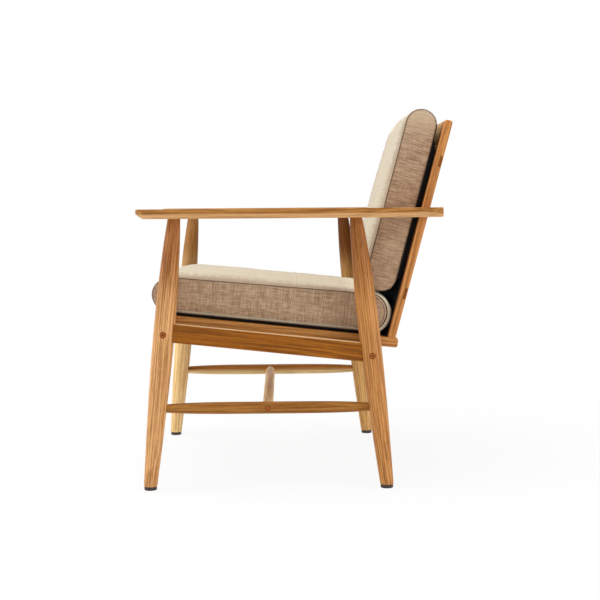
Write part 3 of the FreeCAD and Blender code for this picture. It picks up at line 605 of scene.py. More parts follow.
def close_sheet(builder: BMesh, sheets: list[list[list]], flat: Callable[[Vector], Flat]) -> None:
    """Makes one thin closed sheet of two grids of points, one over the other.

    Args:
        builder: Holds the points.
        sheets: The two grids, as rows of points.
        flat: Gives a point's place on the flat map.
    """
    rims = []
    for number, grid in enumerate(sheets):
        for row, after in zip(grid, grid[1:]):
            for index in range(len(row) - 1):
                corners = [row[index], after[index], after[index + 1], row[index + 1]]
                builder.faces.new(corners if number else corners[::-1])
        last, first = [row[-1] for row in grid[1:-1]], [row[0] for row in grid[1:-1]]
        rims.append([*grid[0], *last, *grid[-1][::-1], *first[::-1]])
    bridge(builder, *rims)
    layer = builder.loops.layers.uv.new("weave")
    for face in builder.faces:
        for loop in face.loops:
            loop[layer].uv = flat(loop.vert.co)
    bmesh.ops.recalc_face_normals(builder, faces=builder.faces)


def geometry_tree(name: str, inputs: Inputs) -> tuple[Nodes, object]:
    """A new Geometry Nodes tree: its node helper and its input sockets, Geometry first and Finish last."""
    nodes = Nodes(bpy.data.node_groups.new(name, "GeometryNodeTree"))
    for way in ("INPUT", "OUTPUT"):
        nodes.tree.interface.new_socket("Geometry", in_out=way, socket_type="NodeSocketGeometry")
    add_inputs(nodes.tree, {**inputs, "Finish": ("NodeSocketMaterial", None)})
    return nodes, nodes.add("NodeGroupInput").outputs


def close_tree(nodes: Nodes, value: object, geometry: NodeSocket) -> NodeTree:
    """Ends a tree in Realize Instances and Set Material."""
    real = nodes.add("GeometryNodeRealizeInstances", {0: geometry})
    dressed = nodes.add("GeometryNodeSetMaterial", {"Geometry": real.outputs[0], "Material": value["Finish"]})
    nodes.add("NodeGroupOutput", {0: dressed.outputs[0]})
    return nodes.tree


def grown(tree: NodeTree, seed_mesh: Mesh, values: dict[str, object], material: Material) -> Mesh:
    """A plain mesh grown by a Geometry Nodes tree.

    Args:
        tree: The tree to run.
        seed_mesh: The mesh that the tree starts from.
        values: Its named inputs.
        material: Its finish.

    Returns:
        The mesh, with no modifier left behind.
    """
    seed = linked(bpy.data.objects.new("seed", seed_mesh))
    modifier = seed.modifiers.new("grow", "NODES")
    modifier.node_group = tree
    sockets = {item.name: item.identifier for item in tree.interface.items_tree
               if item.item_type == "SOCKET" and item.in_out == "INPUT"}
    for label, value in {**values, "Finish": material}.items():
        modifier[sockets[label]] = value
    mesh = evaluated(seed)
    seed.modifiers.clear()
    bpy.data.objects.remove(seed)
    return mesh


def build_turning_tree() -> NodeTree:
    """A turned member between two points, full at a middle share and thinner at both ends.

    Returns:
        The tree. It stores the grain's place on every point.
    """
    nodes, value = geometry_tree("turned_member", {
        "Start": (VECTOR, None), "End": (VECTOR, None),
        "Across A": (VECTOR, None), "Across B": (VECTOR, None),
        "Start Radius": (NUMBER, 0.01), "Middle Radius": (NUMBER, 0.02), "End Radius": (NUMBER, 0.01),
        "Middle Share": (NUMBER, 0.5), "Start Fullness": (NUMBER, 2.0), "End Fullness": (NUMBER, 2.0),
        "Rings": (WHOLE, 96), "Sides": (WHOLE, 56), "Grain Shift": (VECTOR, None),
    })
    rod = nodes.add("GeometryNodeMeshCylinder", {"Vertices": value["Sides"], "Side Segments": value["Rings"],
                                                 "Radius": 1.0, "Depth": 1.0})
    x, y, z = nodes.split(nodes.add("GeometryNodeInputPosition").outputs[0])
    share, middle = nodes.plus(z, 0.5), value["Middle Share"]
    before = nodes.math("DIVIDE", nodes.minus(middle, share), middle)
    after = nodes.math("DIVIDE", nodes.minus(share, middle), nodes.minus(1.0, middle))
    fall = []
    for reach, end in ((before, "Start"), (after, "End")):
        away = nodes.math("POWER", nodes.math("MAXIMUM", reach, 0.0), value[f"{end} Fullness"])
        fall.append(nodes.times(away, nodes.minus(value["Middle Radius"], value[f"{end} Radius"])))
    radius = nodes.minus(value["Middle Radius"], nodes.plus(*fall))
    x, y = nodes.times(x, radius), nodes.times(y, radius)
    axis = nodes.vector("SUBTRACT", value["End"], value["Start"])
    place = nodes.vector("ADD", value["Start"], nodes.scaled(axis, share))
    offset = nodes.vector("ADD", nodes.scaled(value["Across A"], x), nodes.scaled(value["Across B"], y))
    grain = nodes.joined(x, y, nodes.times(share, nodes.length(axis)))
    grain = nodes.vector("ADD", grain, value["Grain Shift"])
    stored = nodes.add("GeometryNodeStoreNamedAttribute", {"Geometry": rod.outputs[0], "Name": "grain",
                                                           "Value": grain}, data_type="FLOAT_VECTOR")
    moved = nodes.add("GeometryNodeSetPosition", {"Geometry": stored.outputs[0],
                                                  "Position": nodes.vector("ADD", place, offset)})
    return close_tree(nodes, value, moved.outputs[0])


def build_stitch_tree() -> NodeTree:
    """A row of thread stitches along the edges of a mesh."""
    nodes, value = geometry_tree("stitch_row", {
        "Pitch": (NUMBER, 0.0034), "Stitch Length": (NUMBER, 0.0026), "Thread": (NUMBER, 0.0005),
        "Scatter": (NUMBER, 0.1), "Seed": (WHOLE, 7),
    })
    path = nodes.add("GeometryNodeMeshToCurve", {"Mesh": value["Geometry"]})
    points = nodes.add("GeometryNodeCurveToPoints", {"Curve": path.outputs[0], "Length": value["Pitch"]},
                       mode="LENGTH")
    aim = nodes.add("FunctionNodeAlignRotationToVector", {"Vector": points.outputs["Tangent"]}, axis="Z")
    turn = nodes.add("FunctionNodeRandomValue", {"Seed": value["Seed"]}, data_type="FLOAT")
    nodes.fill(turn, {2: nodes.minus(1.0, value["Scatter"]), 3: nodes.plus(1.0, value["Scatter"])})
    bead = nodes.add("GeometryNodeMeshIcoSphere", {"Radius": 0.5, "Subdivisions": 2})
    length = nodes.times(value["Stitch Length"], turn.outputs[1])
    rows = nodes.add("GeometryNodeInstanceOnPoints", {
        "Points": points.outputs[0], "Instance": bead.outputs[0], "Rotation": aim.outputs[0],
        "Scale": nodes.joined(value["Thread"], value["Thread"], length)})
    return close_tree(nodes, value, rows.outputs[0])


def build_screw_tree() -> NodeTree:
    """Countersunk cross-head screws at the points of a mesh."""
    nodes, value = geometry_tree("screw_row", {
        "Axis": (VECTOR, None), "Head": (NUMBER, 0.0066), "Head Depth": (NUMBER, 0.002),
        "Shank": (NUMBER, 0.0034), "Length": (NUMBER, 0.013), "Recess": (NUMBER, 0.0012), "Seed": (WHOLE, 3),
    })
    thin = nodes.times(value["Shank"], 0.5)
    head = nodes.add("GeometryNodeMeshCone", {
        "Vertices": 24, "Radius Top": nodes.times(value["Head"], 0.5), "Radius Bottom": thin,
        "Depth": value["Head Depth"]})
    cutters = nodes.add("GeometryNodeJoinGeometry")
    wide, slim = nodes.times(value["Head"], 0.55), nodes.times(value["Head"], 0.12)
    for sides in ((wide, slim), (slim, wide)):
        size = nodes.joined(*sides, nodes.times(value["Recess"], 2.0))
        nodes.feed(cutters.inputs[0], nodes.add("GeometryNodeMeshCube", {"Size": size}).outputs[0])
    shank = nodes.add("GeometryNodeMeshCylinder", {"Vertices": 16, "Radius": thin, "Depth": value["Length"]})
    sunk = nodes.times(value["Head Depth"], -1.0)
    low = nodes.plus(nodes.times(value["Length"], -0.5), nodes.times(value["Head Depth"], -0.5))
    seated, lowered = (
        nodes.add("GeometryNodeTransform", {"Geometry": part.outputs[0], "Translation": move})
        for part, move in ((head, nodes.joined(0.0, 0.0, sunk)), (shank, nodes.joined(0.0, 0.0, low))))
    cut = nodes.add("GeometryNodeMeshBoolean", operation="DIFFERENCE", solver="EXACT")
    nodes.fill(cut, {"Mesh 1": seated.outputs[0], "Mesh 2": cutters.outputs[0]})
    screw = nodes.add("GeometryNodeJoinGeometry")
    for part in (cut, lowered):
        nodes.feed(screw.inputs[0], part.outputs[0])
    aim = nodes.add("FunctionNodeAlignRotationToVector", {"Vector": value["Axis"]}, axis="Z")
    spin = nodes.add("FunctionNodeRandomValue", {"Seed": value["Seed"]}, data_type="FLOAT")
    nodes.feed(spin.inputs[3], math.pi)
    own = nodes.add("FunctionNodeAxisAngleToRotation", {"Axis": (0.0, 0.0, 1.0), "Angle": spin.outputs[1]})
    both = nodes.add("FunctionNodeRotateRotation", {"Rotation": aim.outputs[0], "Rotate By": own.outputs[0]},
                     rotation_space="LOCAL")
    rows = nodes.add("GeometryNodeInstanceOnPoints", {
        "Points": value["Geometry"], "Instance": screw.outputs[0], "Rotation": both.outputs[0]})
    return close_tree(nodes, value, rows.outputs[0])


def add_turned(name: str, tree: NodeTree, material: Material, ends: tuple[Vector, Vector],
               across: tuple[Vector, Vector], radii: Point, fullness: Flat, shift: Point,
               steps: tuple[int, int], middle_share: float = 0.5) -> None:
    """Turns one member of the frame.

    Args:
        name: The piece's name, and its node's.
        tree: The turning tree.
        material: Its wood.
        ends: The points that it runs between.
        across: The two directions of its section.
        radii: Its radius at the start, at its fullest place and at the end.
        fullness: How long it stays full towards the start and towards the end.
        shift: Where it lay in the tree that it comes from.
        steps: Rings along it and sides round it.
        middle_share: Its fullest place, from 0 to 1.
    """
    labels = ("Start", "End", "Across A", "Across B", "Start Radius", "Middle Radius", "End Radius",
              "Start Fullness", "End Fullness", "Grain Shift", "Rings", "Sides", "Middle Share")
    values = dict(zip(labels, (*ends, *across, *radii, *fullness, Vector(shift), *steps, middle_share)))
    mesh = grown(tree, bpy.data.meshes.new(name), values, material)
    add_piece(name, mesh, [material], FRAME_BODY, "oak", name, sharp=40.0)


@dataclass
class LegPair:
    """One left leg's axis and its turning, repeated on the right."""

    name: str
    foot_y: float
    top_y: float
    foot_z: float = 0.008
    arm_underside: float = 0.566
    top_inside: float = 0.0085
    foot_x: float = 0.305033
    top_x: float = 0.275033
    foot_radius: float = 0.0138
    belly_radius: float = 0.0222
    top_radius: float = 0.0124
    belly_share: float = 0.5
    foot_fullness: float = 1.40
    top_fullness: float = 2.71

    def axis(self, height: float, side: float = 1.0) -> Vector:
        """The axis point at a height above the floor, on a side."""
        share = height / self.arm_underside
        x = self.foot_x + (self.top_x - self.foot_x) * share
        return Vector((x * side, self.foot_y + (self.top_y - self.foot_y) * share, height))

    def radius(self, height: float) -> float:
        """The leg's radius at a height above the floor."""
        share = height / self.arm_underside
        if share < self.belly_share:
            away = (self.belly_share - share) / self.belly_share
            return self.belly_radius - (self.belly_radius - self.foot_radius) * away ** self.foot_fullness
        away = (share - self.belly_share) / (1.0 - self.belly_share)
        return self.belly_radius - (self.belly_radius - self.top_radius) * away ** self.top_fullness

    def build(self, tree: NodeTree, woods: dict[str, Material]) -> None:
        """Turns both legs from the foot's glide into the arm, each side in its own wood."""
        top = self.arm_underside + self.top_inside
        belly = (self.arm_underside * self.belly_share - self.foot_z) / (top - self.foot_z)
        for index, (side_name, side) in enumerate(SIDES.items()):
            add_turned(f"{self.name}_leg_{side_name}", tree, woods[f"{self.name}_{side_name}"],
                       (self.axis(self.foot_z, side), self.axis(top, side)), (X_AXIS, Y_AXIS),
                       (self.radius(self.foot_z), self.belly_radius, self.top_radius),
                       (self.foot_fullness, self.top_fullness),
                       (0.031 + 0.012 * index, 0.011 + 0.6 * abs(self.foot_y), 0.9 * index), (110, 60), belly)


def sanded_end(half_width: float, half_height: float, place: Callable[[float, float, float], Vector],
               proud: float, sink: float = 0.004) -> BMesh:
    """The round-ended end of a plug or tenon, sanded to the member that it fills a hole in.

    Args:
        half_width: Half its narrower size.
        half_height: Half its longer size.
        place: Gives the point in the chair for across, up and out.
        proud: How far its middle stands out.
        sink: How far its rim goes into the member.

    Returns:
        A closed mesh whose "disc" attribute holds each point's place and its depth from the rim.
    """
    outline = []
    for index in range(48):
        angle = 2.0 * math.pi * (index + 0.5) / 48
        lift = math.copysign(half_height - half_width, math.sin(angle))
        outline.append((math.cos(angle) * half_width, math.sin(angle) * half_width + lift))
    straight = max(up for _, up in outline) - half_width
    mesh = bmesh.new()
    layer = mesh.verts.layers.float_vector.new("disc")
    rows = []
    for share in (0.0, 0.25, 0.5, 0.68, 0.8, 0.88, 0.94, 1.0):
        row = []
        for across, up in outline if share > 0.0 else [(0.0, 0.0)]:
            across, up = across * share, up * share
            depth = half_width - math.hypot(across, max(0.0, abs(up) - straight))
            rim = max(0.0, 1.0 - depth / 0.0016) ** 3
            vertex = mesh.verts.new(place(across, up, proud * (1.0 - rim) - 0.0002 * rim))
            vertex[layer] = Vector((across, up, depth))
            row.append(vertex)
        rows.append(row)
    back = []
    for (across, up), front in zip(outline, rows[-1]):
        deep = mesh.verts.new(place(across, up, -sink))
        deep[layer] = front[layer]
        back.append(deep)
    for inner, outer in zip(rows, rows[1:] + [back]):
        bridge(mesh, inner, outer)
    mesh.faces.new(back)
    bmesh.ops.recalc_face_normals(mesh, faces=mesh.faces)
    return mesh


def add_ends(name: str, half: Flat, places: list[Callable[[float, float, float], Vector]], material: Material,
             *nodes: str, proud: float = 0.0004) -> None:
    """Adds sanded ends as one piece.

    Args:
        name: The piece's name.
        half: Half the width and half the height of each.
        places: For each end, gives the point in the chair for across, up and out.
        material: Their end grain.
        *nodes: The nodes that the piece stands for.
        proud: How far their middles stand out.
    """
    mesh = merged(name, [sanded_end(*half, place, proud) for place in places])
    add_piece(name, mesh, [material], FRAME_BODY, "plug_wood", *nodes, sharp=50.0)


@dataclass
class Stretchers:
    """The turned stretchers: one per side between the legs, and one across."""

    height: float = 0.170
    middle_radius: float = 0.0127
    end_radius: float = 0.0073
    cross_middle_radius: float = 0.0113
    cross_end_radius: float = 0.0072
    tenon_radius: float = 0.0058
    fullness: float = 4.1
    cross_fullness: float = 22.0

    def tenon_place(self, middle: Vector, side: float, across: float, up: float, out: float) -> Vector:
        """A point of a tenon's end on the round face of a side stretcher."""
        face = math.sqrt(self.middle_radius ** 2 - up ** 2)
        return Vector((side * (middle.x + face + out), middle.y + across, middle.z + up))

    def build(self, tree: NodeTree, front: LegPair, rear: LegPair, woods: dict[str, Material],
              end_grain: Material) -> None:
        """Turns the stretchers and adds the cross stretcher's through tenons."""
        start, end = front.axis(self.height), rear.axis(self.height)
        for index, (side_name, side) in enumerate(SIDES.items()):
            ends = tuple(Vector((point.x * side, point.y, point.z)) for point in (start, end))
            add_turned(f"side_stretcher_{side_name}", tree, woods[f"side_{side_name}"], ends,
                       (Z_AXIS, X_AXIS), (self.end_radius, self.middle_radius, self.end_radius),
                       (self.fullness, self.fullness), (0.024, 0.05 + 0.02 * index, 2.1 + index), (90, 44))
        middle = (start + end) / 2.0
        inner = start.x - self.middle_radius * 0.5
        add_turned("cross_stretcher", tree, woods["cross"],
                   tuple(Vector((x, middle.y, middle.z)) for x in (-inner, inner)), (Y_AXIS, Z_AXIS),
                   (self.cross_end_radius, self.cross_middle_radius, self.cross_end_radius),
                   (self.cross_fullness, self.cross_fullness), (0.017, 0.083, 4.4), (260, 44))
        middle.x = start.x
        add_ends("stretcher_tenon_ends", (self.tenon_radius, self.tenon_radius),
                 [partial(self.tenon_place, middle, side) for side in SIDES.values()], end_grain)


@dataclass
class Plugs:
    """The round plugs over the leg bolts."""

    radius: float = 0.007

    @staticmethod
    def place(leg: LegPair, height: float, side: float, across: float, up: float, out: float) -> Vector:
        """A point of a plug on the round face of a leg."""
        here = leg.axis(height + up)
        y = leg.axis(height).y + across
        face = math.sqrt(leg.radius(height + up) ** 2 - (y - here.y) ** 2)
        return Vector((side * (here.x + face + out), y, height + up))

    def build(self, front: LegPair, rear: LegPair, material: Material) -> None:
        """Sands a plug to each leg, in one piece."""
        places = []
        for leg, node in ((front, "front_cross_rail"), (rear, "rear_cross_rail")):
            low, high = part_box(node)
            places += [partial(self.place, leg, (low.z + high.z) / 2.0, side) for side in SIDES.values()]
        add_ends("leg_plugs", (self.radius, self.radius), places, material, "leg_plugs")


@dataclass
class StileTenons:
    """The ends of the back rails' tenons, seen in the outer faces of the stiles."""

    face_x: float = 0.2627
    half_width: float = 0.0026
    half_height: float = 0.0123
    depth: float = 0.0125

    def place(self, back: Matrix, height: float, side: float, across: float, up: float, out: float) -> Vector:
        """A point of a tenon's end on the flat face of a stile."""
        return back @ Vector((side * (self.face_x + out), self.depth + across, height + up))

    def build(self, back: Matrix, material: Material) -> None:
        """Sands the four ends, in one piece."""
        places = [partial(self.place, back, height, side)
                  for height in BACK_RAIL_HEIGHTS for side in SIDES.values()]
        add_ends("stile_tenon_ends", (self.half_width, self.half_height), places, material, proud=0.0003)


@dataclass
class Arms:
    """Two flat arms with a long bevel below."""

    top: float = 0.586
    thickness: float = 0.020
    inner_x: float = 0.2575
    front_y: float = -0.330
    rear_y: float = 0.308
    front_width: float = 0.070
    belly_width: float = 0.074
    rear_width: float = 0.056
    end_bow: float = 0.005
    belly_share: float = 0.42
    bow_share: float = 0.52
    corner: float = 0.022
    rear_corner: float = 0.010
    end_round: float = 0.0032
    bevel_height: float = 0.010
    bevel_depth: float = 0.014

    @staticmethod
    def circle(start: Vector, middle: Vector, end: Vector) -> tuple[Vector, float]:
        """Centre and radius of the circle through three points."""
        ax, ay, bx, by, cx, cy = start.x, start.y, middle.x, middle.y, end.x, end.y
        twice = 2.0 * (ax * (by - cy) + bx * (cy - ay) + cx * (ay - by))
        sa, sb, sc = ax * ax + ay * ay, bx * bx + by * by, cx * cx + cy * cy
        centre = Vector(((sa * (by - cy) + sb * (cy - ay) + sc * (ay - by)) / twice,
                         (sa * (cx - bx) + sb * (ax - cx) + sc * (bx - ax)) / twice))
        return centre, (start - centre).length

    def corner_run(self, corner: Vector, into: Vector, away: Vector) -> list[tuple[Vector, Vector]]:
        """Points and inward directions round a rounded corner of the plan."""
        turn = into.angle(away)
        cut = self.corner * math.tan(turn / 2.0)
        left = Vector((-into.y, into.x))
        centre = corner - into * cut + left * self.corner
        run = []
        for index in range(17):
            angle = turn * index / 16
            inward = left * math.cos(angle) - into * math.sin(angle)
            run.append((centre - inward * self.corner, inward))
        return run

    def front_run(self) -> list[tuple[Vector, Vector]]:
        """Points and inward directions from the inner side round the nose to the outer side."""
        front = self.front_y + self.end_bow
        inner, outer = Vector((self.inner_x, front)), Vector((self.inner_x + self.front_width, front))
        nose = Vector((self.inner_x + self.front_width * self.bow_share, self.front_y))
        centre, radius = self.circle(inner, nose, outer)
        first = math.atan2(inner.y - centre.y, inner.x - centre.x)
        last = math.atan2(outer.y - centre.y, outer.x - centre.x)
        arc = []
        for index in range(41):
            angle = first + (last - first) * index / 40
            out = Vector((math.cos(angle), math.sin(angle)))
            arc.append((centre + out * radius, -out))
        start = self.corner_run(inner, Vector((0.0, -1.0)), (arc[1][0] - arc[0][0]).normalized())
        side_centre, _ = self.side_circle()
        out = (outer - side_centre).normalized()
        finish = self.corner_run(outer, (arc[-1][0] - arc[-2][0]).normalized(), Vector((-out.y, out.x)))
        reach = self.corner * 0.8
        middle = [item for item in arc
                  if (item[0] - inner).length > reach and (item[0] - outer).length > reach]
        inner_limit, outer_limit = start[-1][0].x, finish[0][0].x
        return start + [item for item in middle if inner_limit < item[0].x < outer_limit] + finish

    def side_circle(self) -> tuple[Vector, float]:
        """The circle of the arm's outer side."""
        length = self.rear_y - self.front_y
        places = ((self.front_width, self.front_y + self.end_bow),
                  (self.belly_width, self.front_y + length * self.belly_share),
                  (self.rear_width, self.rear_y - self.end_bow))
        return self.circle(*(Vector((self.inner_x + width, y)) for width, y in places))

    def rear_at(self, x: float, inset: float) -> float:
        """Rear end of the arm at an x, drawn in by an inset, with the end's rounded corners."""
        rear = self.rear_y - self.end_bow
        outer_x = self.inner_x + self.rear_width
        centre, radius = self.circle(Vector((outer_x, rear)),
                                     Vector((self.inner_x + self.rear_width * self.bow_share, self.rear_y)),
                                     Vector((self.inner_x, rear)))
        corner = max(self.rear_corner - inset, 0.0001)
        side = min(x - self.inner_x, outer_x - x) - inset
        short = min(max(0.0, corner - side), corner)
        tail = centre.y + math.sqrt((radius - inset) ** 2 - (x - centre.x) ** 2)
        return tail - (corner - math.sqrt(corner * corner - short * short))

    def ring(self, inset: float, rear_inset: float) -> list[Vector]:
        """The plan drawn in by an inset, and by another one at its rear end, counter-clockwise."""
        points = [point + inward * inset for point, inward in self.front_run()]
        centre, radius = self.side_circle()
        radius -= inset

        def outer_x(y: float) -> float:
            """X of the outer side at a depth."""
            return centre.x + math.sqrt(radius * radius - (y - centre.y) ** 2)

        end = self.rear_y - self.rear_corner
        for _ in range(30):
            end += (self.rear_at(outer_x(end), rear_inset) - end) * 0.5
        start = points[-1].y
        points += [Vector((outer_x(start + (end - start) * index / 160), start + (end - start) * index / 160))
                   for index in range(1, 161)]
        first, last = points[-1].x, self.inner_x + inset
        for index in range(1, 57):
            share = (1.0 - math.cos(math.pi * index / 56)) / 2.0
            x = first + (last - first) * share
            points.append(Vector((x, self.rear_at(x, rear_inset))))
        begin = points[-1]
        points += [Vector((last, begin.y + (points[0].y - begin.y) * index / 160)) for index in range(1, 160)]
        return points

    def section(self) -> list[Point]:
        """Side inset, rear inset and height of each ring, from the top face to the underside."""
        round_over = 0.0016
        rings = [(0.008, 0.008, self.top)]
        for step in range(5):
            angle = math.pi / 2.0 * step / 4
            inset = round_over * (1.0 - math.sin(angle))
            rings.append((inset, inset, self.top - round_over * (1.0 - math.cos(angle))))
        crease = self.top - self.thickness + self.bevel_height
        soft = 0.0012
        slope = math.hypot(self.bevel_depth, self.bevel_height)
        run, drop = self.bevel_depth / slope, self.bevel_height / slope
        under = self.top - self.thickness
        sides = [(0.0, crease + soft), (0.0001, crease + soft * 0.3),
                 (soft * run * 0.35, crease - soft * drop * 0.3),
                 (soft * run * 1.2, crease - soft * drop * 1.2)]
        sides += [(self.bevel_depth * share, crease - self.bevel_height * share)
                  for share in (0.3, 0.5, 0.7, 0.85)]
        sides += [(self.bevel_depth - soft * run, under + soft * drop),
                  (self.bevel_depth - soft * run * 0.3, under + soft * drop * 0.25),
                  (self.bevel_depth + soft, under), (self.bevel_depth + 0.004, under)]
        for inset, height in sides:
            low = max(0.0, under + self.end_round - height)
            rear_inset = self.end_round - math.sqrt(max(self.end_round ** 2 - low ** 2, 0.0))
            rings.append((inset, rear_inset + max(0.0, inset - self.bevel_depth), height))
        return rings

    def build(self, material: Material) -> None:
        """Builds both arms as stacked rings."""
        rings = [(self.ring(inset, rear_inset), height) for inset, rear_inset, height in self.section()]
        for number, (side_name, side) in enumerate(SIDES.items()):
            mesh = bmesh.new()
            layer = mesh.verts.layers.float_vector.new("grain")
            shift = Vector((-0.235 + 0.01 * number, -0.545, 1.7 * number))
            rows = []
            for points, height in rings:
                row = []
                for flat in points:
                    vertex = mesh.verts.new((flat.x * side, flat.y, height))
                    vertex[layer] = Vector((flat.x, height, flat.y)) + shift
                    row.append(vertex)
                rows.append(row)
            for upper, lower in zip(rows, rows[1:]):
                bridge(mesh, upper, lower)
            mesh.faces.new(rows[0])
            mesh.faces.new(rows[-1])
            bmesh.ops.recalc_face_normals(mesh, faces=mesh.faces)
            name = f"arm_{side_name}"
            add_piece(name, merged(name, [mesh]), [material], FRAME_BODY, "oak", name, sharp=28.0)


@dataclass(frozen=True)
class Stadium:
    """A long loop with half-round ends, in a cushion's side plane."""

    start: float
    end: float
    low: float
    high: float

    def point(self, run: float) -> Flat:
        """Place along and up for a run of 0 to 4: underside, rear end, top, front end."""
        radius = (self.high - self.low) / 2.0
        middle = (self.high + self.low) / 2.0
        near, far = self.start + radius, self.end - radius
        part, share = int(run) % 4, run - int(run)
        if part == 0:
            return near + (far - near) * share, self.low
        if part == 1:
            angle = math.pi * (share - 0.5)
            return far + radius * math.cos(angle), middle + radius * math.sin(angle)
        if part == 2:
            return far + (near - far) * share, self.high
        angle = math.pi * (0.5 + share)
        return near + radius * math.cos(angle), middle + radius * math.sin(angle)

    def inset(self, amount: float) -> "Stadium":
        """The same loop drawn in by an amount."""
        return Stadium(self.start + amount, self.end - amount, self.low + amount, self.high - amount)


def read_points(mesh: Mesh) -> np.ndarray:
    """A mesh's points, one to a row."""
    places = np.empty(len(mesh.vertices) * 3)
    mesh.vertices.foreach_get("co", places)
    return places.reshape(-1, 3)


def read_marks(mesh: Mesh, name: str) -> list[float]:
    """A value stored on each of a mesh's points."""
    return [item.value for item in mesh.attributes[name].data]


